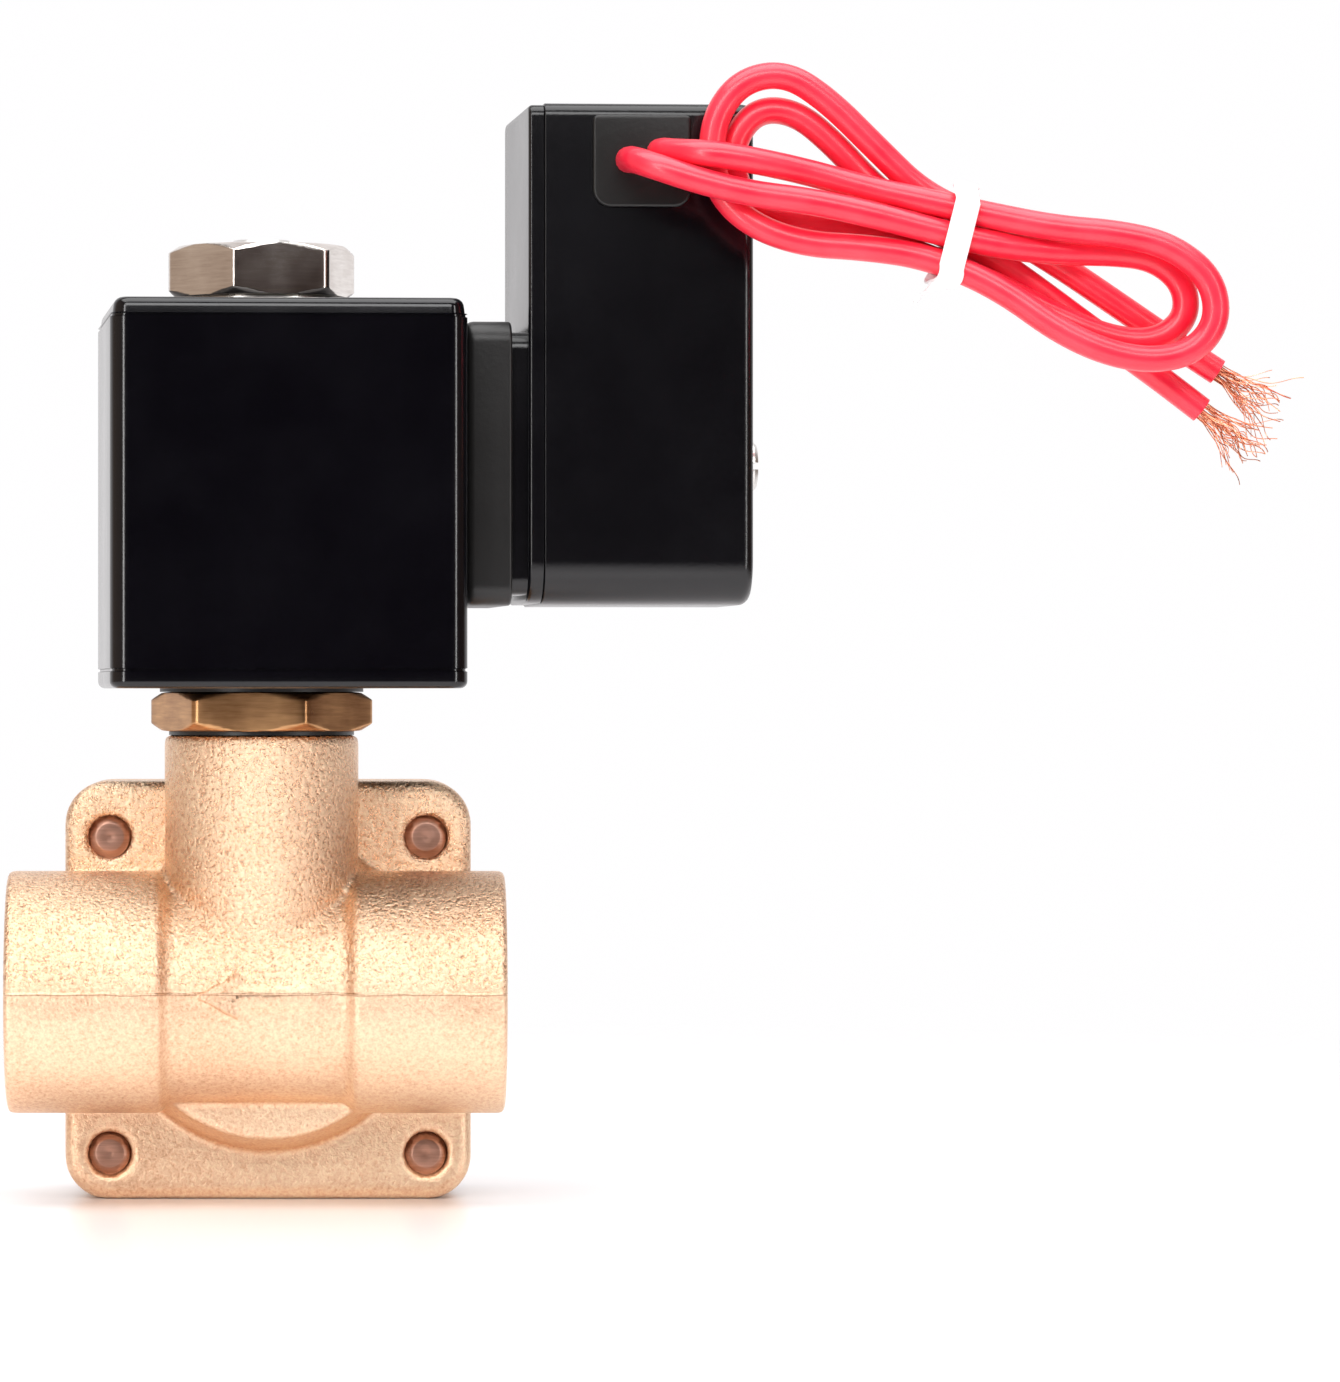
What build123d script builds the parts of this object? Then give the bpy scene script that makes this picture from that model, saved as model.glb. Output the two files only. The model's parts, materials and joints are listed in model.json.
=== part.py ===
from build123d import *
import math
import os

os.makedirs("parts", exist_ok=True)

# A pilot-operated solenoid valve with G1/2 ports, in millimetres.
# X runs along the pipe, from the outlet (-X) to the inlet (+X).
# Y runs from the front of the body to the diaphragm cover behind it.
# Z is up. The origin is on the flange's bottom face, under the stem axis, half-way through the flange.

# Driving dimensions: body
stem_y = -9.5  # the pipe axis and the stem axis lie this far in front of the flange's middle
pipe_z = 24.0
port_r = 13.8
port_bore_r = 10.48  # major radius of G1/2
port_bore_depths = (12.5, 14.0)
port_ends = (-28.9, 27.7)
port_shoulders = (-10.7, 9.8)
waist_r = 12.57
collar_bevel = 0.4
passage_y = -5.2  # the oval passages are cast behind the pipe axis, towards the chamber
passage_w = 7.2
passage_rise = 10.0  # between the centres of the oval's two round ends
inlet_reach = 4.7  # how far the inlet's passage runs on past its port bore
outlet_reach = 3.9  # how far the outlet's passage runs on past the stem axis
neck_r = 11.05
neck_top = 53.3
neck_bevel = 0.5
neck_bore_r = 7.5
neck_bore_floor = 43.5
arrow_tip = -7.1
arrow_head_back = -2.6
arrow_tail = 5.6
arrow_head_half = 2.4
arrow_shaft_half = 1.15
arrow_proud = 0.35
arrow_root = 0.85  # how deep the arrow's sketch is sunk into the waist

# Driving dimensions: flange and cover
flange_x = 0.7  # the casting's outside is centred this far towards the inlet
flange_w = 46.6
flange_h = 48.0
flange_t = 10.0
corner_r = 5.0
screw_pitch = 36.3
screw_mid_z = 23.4
screw_r = 2.5
boss_r = 18.4
boss_draft = 15
boss_front = -11.5
cover_t = 12.0
chamber_r = 15.0
chamber_floor = -0.5
seat_y = 2.0
seat_ring_r = 8.7  # outside of the ring that the main seal closes on
seat_hole_x = -1.5
seat_hole_r = 5.0
rise_x = 12.4  # the slot that lets the inlet up into the chamber
rise_y = 0.5
rise_w = 4.6
disc_r = 12.4
diaphragm_r = 19.2
duct_z = 45.1  # height of the duct that feeds the pilot
duct_r = 0.9
duct_seal_r = 1.7
pilot_hole_r = 2.0
pilot_hole_depth = 5.0
pilot_drill_r = 1.0
pilot_drill_y = 0.7  # the drill below the pilot leans towards the passages
pilot_drill_foot = 3.0  # how far above the pipe axis it ends, in the outlet passage

# Driving dimensions: stem and coil
hex_af = 22.2
hex_z = (53.7, 58.2)
hex_turn = -6.5
tube_r = 6.5
tube_wall = 0.5
tube_top = 92.0
core_foot = 82.0
plunger_foot = 47.0
plunger_lift = 2.0
coil_z = (58.6, 102.2)
coil_x = (-18.0, 22.0)
coil_half_y = 19.0
coil_turn = 4.0  # the coil and its connector stand turned about the stem axis
nut_af = 19.0
nut_t = 6.0
nut_turn = 13.5
stud_r = 3.8
stud_top = 109.6

# Driving dimensions: connector and leads
gasket_x = (22.0, 27.4)
gasket_z = (67.9, 99.9)
gasket_half_y = 13.5
box_x = (29.2, 54.7)
box_z = (68.0, 124.4)
box_half_y = 14.0
box_wall = 1.8
box_upper_r = 1.5
box_lower_r = 5.0
base_end_x = 31.0
plate_x = (36.4, 47.5)
plate_z = (112.7, 123.0)
lead_d = 3.0
blade_z = 84.0  # height of the connector's middle, where its fixing screw runs
blade_places = [(-5.0, 0), (5.0, 0), (0, 7.0)]
blade_foot = 3.0  # depth of the well that the blades stand in
blade_end = 32.0
fixing_r = 1.5
fixing_head_r = 2.9
fixing_head_t = 2.0

# Where the two leads run, from inside the connector, through the tie, round the right-hand loop,
# back through the tie, round the left-hand loop and out through the tie to the bare ends.
lead_a_route = [
    (41.2, -18.4, 118.0), (41.2, -23.3, 118.0), (43.4, -26.6, 117.0), (48.5, -27.4, 115.2), (54.5, -27.4, 113.7),
    (60.9, -27.5, 112.9), (67.6, -27.3, 111.5), (73.9, -26.7, 109.9), (81.4, -26.4, 108.1), (88.6, -25.3, 107.3),
    (94.9, -24.9, 107.3), (99.8, -24.9, 106.7), (103.2, -24.9, 103.9), (103.5, -25.0, 100.0), (100.4, -25.1, 97.4),
    (95.6, -25.3, 97.4), (89.1, -25.6, 99.9), (81.8, -24.0, 104.0), (74.0, -23.1, 107.2), (67.5, -22.3, 109.4),
    (62.0, -21.9, 110.7), (57.6, -21.9, 111.4), (54.4, -21.9, 113.1), (52.9, -21.9, 116.6), (53.2, -21.9, 120.6),
    (55.9, -21.9, 123.6), (60.1, -21.8, 123.2), (64.2, -21.7, 119.8), (68.6, -21.8, 115.0), (74.0, -23.0, 110.5),
    (81.1, -22.6, 107.5), (87.3, -21.4, 103.3), (94.1, -21.5, 98.2), (100.2, -21.5, 94.0), (105.6, -21.5, 89.8),
]
lead_b_route = [
    (44.7, -18.1, 118.9), (44.7, -22.3, 118.9), (46.4, -24.9, 118.5), (50.0, -27.3, 118.2), (55.2, -27.0, 117.4),
    (61.2, -25.5, 116.2), (67.6, -25.1, 114.4), (73.9, -26.0, 113.0), (81.4, -26.5, 111.3), (88.6, -27.6, 109.8),
    (95.6, -28.1, 109.2), (101.4, -28.1, 107.8), (105.9, -28.1, 104.2), (106.6, -28.1, 99.2), (103.3, -28.1, 95.6),
    (97.2, -28.4, 95.0), (89.8, -28.6, 97.6), (82.0, -27.2, 103.5), (74.2, -26.3, 106.8), (67.2, -25.9, 107.8),
    (60.8, -25.5, 108.2), (55.3, -25.0, 110.1), (51.6, -24.1, 113.4), (50.3, -23.8, 118.0), (51.0, -23.6, 123.0),
    (54.0, -23.5, 126.7), (58.8, -23.5, 127.5), (63.6, -23.3, 124.4), (69.0, -23.3, 119.0), (74.2, -23.2, 113.9),
    (81.4, -23.0, 110.8), (88.8, -21.9, 106.6), (95.8, -21.5, 101.9), (101.9, -21.5, 97.7), (107.4, -21.5, 94.1),
]
tie_at = (77.6, -24.75, 109.15)
tie_slope = 15.0
tie_w = 3.6
strand_length = 8.0

flange_back = flange_t / 2
cover_back = flange_back + cover_t


def across(y):
    """The plane at y that faces the front; local x is X and local y is Z."""
    return Plane(origin=(0, y, 0), x_dir=(1, 0, 0), z_dir=(0, -1, 0))


def along(x):
    """The plane at x whose normal is +X; local x is Y and local y is Z."""
    return Plane(origin=(x, 0, 0), x_dir=(0, 1, 0), z_dir=(1, 0, 0))


def level(z):
    """The horizontal plane at z, centred on the stem axis."""
    return Plane(origin=(0, stem_y, z))


def turned(x, z):
    """The plane at the coil's own x that faces its own +x, centred at height z; local y is Z."""
    own = Plane(origin=(x, 0, z), x_dir=(0, 1, 0), z_dir=(1, 0, 0))
    turn = Location((0, stem_y, 0), (0, 0, coil_turn))
    return Plane(turn * own.location)


def coil_front(y):
    """The upright plane at the coil's own y that faces the front; local x is the coil's own x, local y is Z."""
    turn = Location((0, stem_y, 0), (0, 0, coil_turn))
    return Plane(turn * across(y).location)


def coil_level(z):
    """The horizontal plane at z, on the stem axis and turned with the coil."""
    return Plane(Location((0, stem_y, z), (0, 0, coil_turn)))


def finish(piece, name):
    piece.part.label = name
    export_step(piece.part, f"parts/{name}.step")


def hexagon(af):
    return af / math.sqrt(3)


screw_places = [(x, z) for x in (flange_x - screw_pitch / 2, flange_x + screw_pitch / 2)
                for z in (screw_mid_z - screw_pitch / 2, screw_mid_z + screw_pitch / 2)]
mid_coil_x = (coil_x[0] + coil_x[1]) / 2
plate_mid_x = (plate_x[0] + plate_x[1]) / 2
plate_mid_z = (plate_z[0] + plate_z[1]) / 2
plate_w = plate_x[1] - plate_x[0]
plate_h = plate_z[1] - plate_z[0]
coil_w = coil_x[1] - coil_x[0]
coil_h = coil_z[1] - coil_z[0]

# ---------------------------------------------------------------- valve body
with BuildPart() as valve_body:
    with BuildSketch(across(-flange_t / 2)):
        with Locations((flange_x, pipe_z)):
            RectangleRounded(flange_w, flange_h, corner_r)
    extrude(amount=-flange_t)
    front_rim = valve_body.faces().sort_by(Axis.Y)[0].edges()
    fillet(front_rim, 1.4)
    # The round chamber boss, drafted towards the front.
    with BuildSketch(across(-flange_t / 2)):
        with Locations((flange_x, pipe_z)):
            Circle(boss_r)
    extrude(amount=-flange_t / 2 - boss_front, taper=boss_draft)
    # The pipe run: two port collars and a slimmer waist between them.
    with BuildSketch(along(port_shoulders[0])):
        with Locations((stem_y, pipe_z)):
            Circle(waist_r)
    extrude(amount=port_shoulders[1] - port_shoulders[0])
    for end, shoulder in zip(port_ends, port_shoulders):
        side = math.copysign(1, end)
        with BuildSketch(Plane(origin=(0, stem_y, pipe_z), x_dir=(1, 0, 0), z_dir=(0, -1, 0))):
            with BuildLine():
                Polyline(
                    (end, 0),
                    (end, port_r - collar_bevel),
                    (end - side * collar_bevel, port_r),
                    (shoulder + side * 0.9, port_r),
                    (shoulder - side * 0.6, waist_r - 0.3),
                    (shoulder - side * 0.6, 0),
                    close=True,
                )
            make_face()
        revolve(axis=Axis((0, stem_y, pipe_z), (1, 0, 0)))
    # The neck, with a small bevel round its top.
    with BuildSketch(level(pipe_z)):
        Circle(neck_r)
    extrude(amount=neck_top - pipe_z - neck_bevel)
    with BuildSketch(level(neck_top - neck_bevel)):
        Circle(neck_r)
    extrude(amount=neck_bevel, taper=45)
    # The flow arrow, raised from the front of the waist; it points to the outlet.
    with BuildSketch(across(stem_y - waist_r - arrow_proud)):
        with BuildLine():
            Polyline(
                (arrow_tip, pipe_z),
                (arrow_head_back, pipe_z + arrow_head_half),
                (arrow_head_back, pipe_z + arrow_shaft_half),
                (arrow_tail, pipe_z + arrow_shaft_half),
                (arrow_tail, pipe_z - arrow_shaft_half),
                (arrow_head_back, pipe_z - arrow_shaft_half),
                (arrow_head_back, pipe_z - arrow_head_half),
                close=True,
            )
        make_face()
    extrude(amount=-arrow_proud - arrow_root)
    # Port bores at the thread's major radius, then the two passages.
    for end, depth in zip(port_ends, port_bore_depths):
        inwards = -math.copysign(1, end)
        with BuildSketch(along(end)):
            with Locations((stem_y, pipe_z)):
                Circle(port_bore_r)
        extrude(amount=inwards * depth, mode=Mode.SUBTRACT)
    inlet_floor = port_ends[1] - port_bore_depths[1]
    outlet_floor = port_ends[0] + port_bore_depths[0]
    with BuildSketch(along(inlet_floor)):
        with Locations((passage_y, pipe_z)):
            SlotCenterToCenter(passage_rise, passage_w, rotation=90)
    extrude(amount=-inlet_reach, mode=Mode.SUBTRACT)
    with BuildSketch(along(outlet_floor)):
        with Locations((passage_y, pipe_z)):
            SlotCenterToCenter(passage_rise, passage_w, rotation=90)
    extrude(amount=-outlet_floor + outlet_reach, mode=Mode.SUBTRACT)
    # The ring chamber round the seat, open at the flange's back face.
    with BuildSketch(across(flange_back)):
        with Locations((0, pipe_z)):
            Circle(chamber_r)
            Circle(seat_ring_r, mode=Mode.SUBTRACT)
    extrude(amount=flange_back - chamber_floor, mode=Mode.SUBTRACT)
    with BuildSketch(across(flange_back)):
        with Locations((0, pipe_z)):
            Circle(seat_ring_r)
    extrude(amount=flange_back - seat_y, mode=Mode.SUBTRACT)
    # The seat hole down to the outlet passage, and the inlet's way up into the chamber.
    with BuildSketch(across(seat_y)):
        with Locations((seat_hole_x, pipe_z)):
            Circle(seat_hole_r)
    extrude(amount=seat_y - passage_y, mode=Mode.SUBTRACT)
    with BuildSketch(across(rise_y)):
        with Locations((rise_x, pipe_z)):
            SlotCenterToCenter(6.0, rise_w, rotation=90)
    extrude(amount=rise_y - passage_y, mode=Mode.SUBTRACT)
    # The neck's bore, the pilot's way to the outlet, and its supply from the cover.
    with BuildSketch(level(neck_top)):
        Circle(neck_bore_r)
    extrude(amount=neck_bore_floor - neck_top, mode=Mode.SUBTRACT)
    with BuildSketch(level(neck_bore_floor)):
        Circle(pilot_hole_r)
    extrude(amount=-pilot_hole_depth, mode=Mode.SUBTRACT)
    with BuildSketch(level(neck_bore_floor - pilot_hole_depth)):
        with Locations((0, pilot_drill_y)):
            Circle(pilot_drill_r)
    extrude(amount=pipe_z + pilot_drill_foot - neck_bore_floor + pilot_hole_depth, mode=Mode.SUBTRACT)
    with BuildSketch(across(flange_back)):
        with Locations((0, duct_z)):
            Circle(duct_r)
    extrude(amount=flange_back - stem_y - 3.0, mode=Mode.SUBTRACT)
    # Screw holes, bored at the thread's major radius.
    with BuildSketch(across(flange_back)):
        with Locations(*screw_places):
            Circle(screw_r)
    extrude(amount=flange_t, mode=Mode.SUBTRACT)
finish(valve_body, "valve_body")

# ---------------------------------------------------------------- diaphragm cover
cover_face = flange_back
cover_step = 4.0  # how far the round middle stands behind the square rim
spring_pocket = 8.2
recess_t = 0.8  # depth of the recess that holds the diaphragm's rim
head_seat_y = cover_back - 5.2
spring_washer_t = 1.2
head_r = 4.2
head_clearance = 0.5
head_t = 4.6
with BuildPart() as diaphragm_cover:
    with BuildSketch(across(cover_face)):
        with Locations((flange_x, pipe_z)):
            RectangleRounded(flange_w, flange_h, corner_r)
    extrude(amount=-(cover_back - cover_face - cover_step))
    with BuildSketch(across(cover_back - cover_step)):
        with Locations((flange_x, pipe_z)):
            Circle(boss_r + 1.6)
    extrude(amount=-cover_step, taper=12)
    fillet(diaphragm_cover.faces().sort_by(Axis.Y)[-1].edges(), 1.0)
    # The recesses for the diaphragm's rim and the duct's seal.
    with BuildSketch(across(cover_face)):
        with Locations((0, pipe_z)):
            Circle(diaphragm_r + 0.05)
        with Locations((0, duct_z)):
            Circle(duct_seal_r + 0.05)
    extrude(amount=-recess_t, mode=Mode.SUBTRACT)
    # The pressure chamber, with a pocket that seats the spring.
    with BuildSketch(across(cover_face + recess_t)):
        with Locations((0, pipe_z)):
            Circle(chamber_r)
    extrude(amount=-6.2, mode=Mode.SUBTRACT)
    with BuildSketch(across(cover_face + recess_t)):
        with Locations((0, pipe_z)):
            Circle(5.2)
    extrude(amount=-spring_pocket, mode=Mode.SUBTRACT)
    # The pilot duct: back from the joint face, then down to the chamber.
    with BuildSketch(across(cover_face)):
        with Locations((0, duct_z)):
            Circle(duct_r)
    extrude(amount=-4.0, mode=Mode.SUBTRACT)
    with BuildSketch(Plane(origin=(0, cover_face + 3.0, duct_z))):
        Circle(0.8)
    extrude(amount=-8.0, mode=Mode.SUBTRACT)
    with BuildSketch(across(cover_face)):
        with Locations(*screw_places):
            Circle(screw_r + 0.25)
    extrude(amount=-cover_t, mode=Mode.SUBTRACT)
    with BuildSketch(across(head_seat_y)):
        with Locations(*screw_places):
            Circle(head_r + head_clearance)
    extrude(amount=-6.0, mode=Mode.SUBTRACT)
finish(diaphragm_cover, "diaphragm_cover")

# ---------------------------------------------------------------- screws that hold the cover
head_y = head_seat_y + spring_washer_t
with BuildPart() as cover_screws:
    with BuildSketch(across(head_y)):
        with Locations(*screw_places):
            Circle(head_r)
    extrude(amount=-head_t)
    chamfer(cover_screws.faces().group_by(Axis.Y)[-1].edges(), 0.4)
    with BuildSketch(across(head_y + head_t)):
        with Locations(*screw_places):
            RegularPolygon(hexagon(4.0), 6)
    extrude(amount=2.4, mode=Mode.SUBTRACT)
    with BuildSketch(across(head_y)):
        with Locations(*screw_places):
            Circle(screw_r - 0.02)
    extrude(amount=head_y + flange_t / 2 - 0.5)
    chamfer(cover_screws.faces().group_by(Axis.Y)[0].edges(), 0.6)
finish(cover_screws, "cover_screws")

with BuildPart() as spring_washers:
    with BuildSketch(across(head_seat_y)):
        with Locations(*screw_places):
            Circle(head_r - 0.1)
            Circle(2.6, mode=Mode.SUBTRACT)
        # Each washer is split across its ring.
        with Locations(*[(x + 3.4, z) for x, z in screw_places]):
            Rectangle(2.4, 0.7, mode=Mode.SUBTRACT)
    extrude(amount=-spring_washer_t)
finish(spring_washers, "spring_washers")

# ---------------------------------------------------------------- diaphragm and what rides on it
holder_flange_t = 1.1
disc_t = 1.2
bleed_x = 11.0
with BuildPart() as diaphragm:
    with BuildSketch(across(flange_back)):
        with Locations((0, pipe_z)):
            Circle(diaphragm_r)
            Circle(2.4, mode=Mode.SUBTRACT)
    extrude(amount=-recess_t)
    # The bleed hole that feeds the pressure chamber from the inlet.
    with BuildSketch(across(flange_back)):
        with Locations((bleed_x, pipe_z)):
            Circle(1.1)
    extrude(amount=-recess_t, mode=Mode.SUBTRACT)
finish(diaphragm, "diaphragm")

with BuildPart() as seal_holder:
    with BuildSketch(across(flange_back)):
        with Locations((0, pipe_z)):
            Circle(8.4)
    extrude(amount=holder_flange_t)
    with BuildSketch(across(flange_back)):
        with Locations((0, pipe_z)):
            Circle(2.3)
    extrude(amount=-3.4)
    # The collar that grips the seal disc's edge.
    with BuildSketch(across(flange_back - holder_flange_t)):
        with Locations((0, pipe_z)):
            Circle(8.4)
            Circle(7.5, mode=Mode.SUBTRACT)
    extrude(amount=0.9)
finish(seal_holder, "seal_holder")

with BuildPart() as main_seal:
    with BuildSketch(across(flange_back - holder_flange_t)):
        with Locations((0, pipe_z)):
            Circle(7.48)
    extrude(amount=flange_back - holder_flange_t - seat_y)
finish(main_seal, "main_seal")

with BuildPart() as diaphragm_plate:
    with BuildSketch(across(flange_back + recess_t)):
        with Locations((0, pipe_z)):
            Circle(disc_r)
            Circle(2.32, mode=Mode.SUBTRACT)
        with Locations((bleed_x, pipe_z)):
            Circle(0.5, mode=Mode.SUBTRACT)
    extrude(amount=-disc_t)
    with BuildSketch(across(flange_back + recess_t + disc_t)):
        with Locations((0, pipe_z)):
            Circle(3.4)
            Circle(2.32, mode=Mode.SUBTRACT)
    extrude(amount=-0.8)
finish(diaphragm_plate, "diaphragm_plate")

spring_from = flange_back + recess_t + disc_t
spring_to = cover_face + recess_t + spring_pocket
wire_r = 0.35
spring_h = spring_to - spring_from - 2 * wire_r - 0.2
with BuildPart() as diaphragm_spring:
    with BuildLine() as spring_line:
        Helix(spring_h / 4, spring_h, 4.35, center=(0, spring_from + wire_r + 0.1, pipe_z), direction=(0, 1, 0))
    with BuildSketch(Plane(origin=spring_line.line @ 0, z_dir=spring_line.line % 0)):
        Circle(wire_r)
    sweep(is_frenet=True)
finish(diaphragm_spring, "diaphragm_spring")

with BuildPart() as duct_seal:
    with BuildSketch(across(flange_back)):
        with Locations((0, duct_z)):
            Circle(duct_seal_r)
            Circle(0.95, mode=Mode.SUBTRACT)
    extrude(amount=-recess_t)
finish(duct_seal, "duct_seal")

# ---------------------------------------------------------------- pilot seat and armature tube
with BuildPart() as pilot_seat:
    with BuildSketch(level(neck_bore_floor)):
        Circle(pilot_hole_r - 0.02)
    extrude(amount=-4.6)
    with BuildSketch(level(neck_bore_floor)):
        Circle(4.0)
    extrude(amount=1.4)
    with BuildSketch(level(neck_bore_floor + 1.4)):
        Circle(1.7)
    extrude(amount=plunger_foot - neck_bore_floor - 1.4, taper=12)
    with BuildSketch(level(plunger_foot)):
        Circle(0.6)
    extrude(amount=-9.0, mode=Mode.SUBTRACT)
finish(pilot_seat, "pilot_seat")

tube_grip = 9.0  # how deep the armature tube sits in its base
seal_step_r = 8.6  # the step under the hexagon that the flat seal fits round
with BuildPart() as tube_base:
    with BuildSketch(level(hex_z[0])):
        RegularPolygon(hexagon(hex_af), 6, rotation=hex_turn)
    extrude(amount=hex_z[1] - hex_z[0])
    # The corners are turned away top and bottom.
    with BuildSketch(across(stem_y)):
        with BuildLine():
            Polyline(
                (0, hex_z[0]),
                (hex_af / 2 - 0.1, hex_z[0]),
                (hexagon(hex_af) + 0.1, hex_z[0] + 1.1),
                (hexagon(hex_af) + 0.1, hex_z[1] - 1.1),
                (hex_af / 2 - 0.1, hex_z[1]),
                (0, hex_z[1]),
                close=True,
            )
        make_face()
    revolve(axis=Axis((0, stem_y, 0), (0, 0, 1)), mode=Mode.INTERSECT)
    with BuildSketch(level(hex_z[0])):
        Circle(neck_bore_r - 0.02)
    extrude(amount=-6.0)
    with BuildSketch(level(hex_z[0])):
        Circle(seal_step_r)
    extrude(amount=-(hex_z[0] - neck_top))
    with BuildSketch(level(hex_z[1])):
        Circle(tube_r + 0.01)
    extrude(amount=-tube_grip, mode=Mode.SUBTRACT)
    with BuildSketch(level(hex_z[1])):
        Circle(tube_r - tube_wall)
    extrude(amount=-12.0, mode=Mode.SUBTRACT)
finish(tube_base, "tube_base")

with BuildPart() as base_seal:
    with BuildSketch(level(neck_top)):
        Circle(neck_r - neck_bevel)
        Circle(seal_step_r + 0.02, mode=Mode.SUBTRACT)
    extrude(amount=hex_z[0] - neck_top)
finish(base_seal, "base_seal")

tube_foot = hex_z[1] - tube_grip
with BuildPart() as armature_tube:
    with BuildSketch(level(tube_foot)):
        Circle(tube_r)
        Circle(tube_r - tube_wall, mode=Mode.SUBTRACT)
    extrude(amount=tube_top - tube_foot)
finish(armature_tube, "armature_tube")

core_top = coil_z[1] - 0.6
with BuildPart() as fixed_core:
    with BuildSketch(across(stem_y)):
        with BuildLine():
            Polyline(
                (0, core_foot),
                (tube_r - tube_wall - 0.02, core_foot),
                (tube_r - tube_wall - 0.02, tube_top),
                (tube_r, tube_top),
                (tube_r, core_top),
                (stud_r, core_top),
                (stud_r, stud_top - 0.6),
                (stud_r - 0.6, stud_top),
                (0, stud_top),
                close=True,
            )
        make_face()
    revolve(axis=Axis((0, stem_y, 0), (0, 0, 1)))
    # The groove that holds the shading ring, and a slot across the stud's top.
    with BuildSketch(level(core_foot)):
        Circle(4.6)
        Circle(3.4, mode=Mode.SUBTRACT)
    extrude(amount=1.2, mode=Mode.SUBTRACT)
    with BuildSketch(level(stud_top)):
        Rectangle(2 * stud_r, 1.0)
    extrude(amount=-0.8, mode=Mode.SUBTRACT)
finish(fixed_core, "fixed_core")

with BuildPart() as shading_ring:
    with BuildSketch(level(core_foot + 0.05)):
        Circle(4.58)
        Circle(3.42, mode=Mode.SUBTRACT)
    extrude(amount=1.1)
finish(shading_ring, "shading_ring")

plunger_r = tube_r - tube_wall - 0.07
plunger_top = core_foot - plunger_lift - 0.15
plunger_seal_rim = 1.2  # how far the seal stands below the plunger
spring_seat = plunger_top - 10.0
with BuildPart() as plunger:
    with BuildSketch(level(plunger_foot + plunger_seal_rim)):
        Circle(plunger_r)
    extrude(amount=plunger_top - plunger_foot - plunger_seal_rim)
    chamfer(plunger.edges().group_by(Axis.Z)[-1], 0.5)
    chamfer(plunger.edges().group_by(Axis.Z)[0], 0.4)
    with BuildSketch(level(plunger_top)):
        Circle(2.9)
    extrude(amount=spring_seat - plunger_top, mode=Mode.SUBTRACT)
    with BuildSketch(level(plunger_foot + plunger_seal_rim)):
        Circle(3.0)
    extrude(amount=2.0, mode=Mode.SUBTRACT)
    # Two flats let the fluid pass along the plunger.
    with BuildSketch(level(plunger_foot)):
        with Locations((0, plunger_r), (0, -plunger_r)):
            Rectangle(8.0, 0.9)
    extrude(amount=plunger_top - plunger_foot, mode=Mode.SUBTRACT)
finish(plunger, "plunger")

with BuildPart() as plunger_seal:
    with BuildSketch(level(plunger_foot)):
        Circle(2.98)
    extrude(amount=plunger_seal_rim + 2.0)
finish(plunger_seal, "plunger_seal")

fine_r = 0.3
fine_h = core_foot - spring_seat - 2 * fine_r - 0.2
with BuildPart() as plunger_spring:
    with BuildLine() as fine_line:
        Helix(fine_h / 7, fine_h, 2.2, center=(0, stem_y, spring_seat + fine_r + 0.1))
    with BuildSketch(Plane(origin=fine_line.line @ 0, z_dir=fine_line.line % 0)):
        Circle(fine_r)
    sweep(is_frenet=True)
finish(plunger_spring, "plunger_spring")

# ---------------------------------------------------------------- nut and washer on top of the coil
washer_t = 0.8
with BuildPart() as nut_washer:
    with BuildSketch(level(coil_z[1])):
        Circle(9.0)
        Circle(stud_r + 0.1, mode=Mode.SUBTRACT)
    extrude(amount=washer_t)
finish(nut_washer, "nut_washer")

nut_foot = coil_z[1] + washer_t
with BuildPart() as top_nut:
    with BuildSketch(level(nut_foot)):
        RegularPolygon(hexagon(nut_af), 6, rotation=nut_turn)
    extrude(amount=nut_t)
    with BuildSketch(across(stem_y)):
        with BuildLine():
            Polyline(
                (0, nut_foot),
                (nut_af / 2 + 0.1, nut_foot),
                (hexagon(nut_af) + 0.1, nut_foot + 0.8),
                (hexagon(nut_af) + 0.1, nut_foot + nut_t - 1.1),
                (nut_af / 2 - 0.2, nut_foot + nut_t),
                (0, nut_foot + nut_t),
                close=True,
            )
        make_face()
    revolve(axis=Axis((0, stem_y, 0), (0, 0, 1)), mode=Mode.INTERSECT)
    with BuildSketch(level(nut_foot)):
        Circle(stud_r + 0.01)
    extrude(amount=nut_t, mode=Mode.SUBTRACT)
finish(top_nut, "top_nut")

# ---------------------------------------------------------------- coil
bobbin_r = tube_r + 0.1
bobbin_wall = 1.0
cheek_r = 12.9
cheek_t = 1.2
yoke_t = 2.5
frame_wall = 1.6
inner_foot = coil_z[0] + yoke_t
inner_top = coil_z[1] - yoke_t
window_half_x = 14.6  # half the steel frame's width
frame_half_y = 13.0
frame_gap = 0.02

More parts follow.
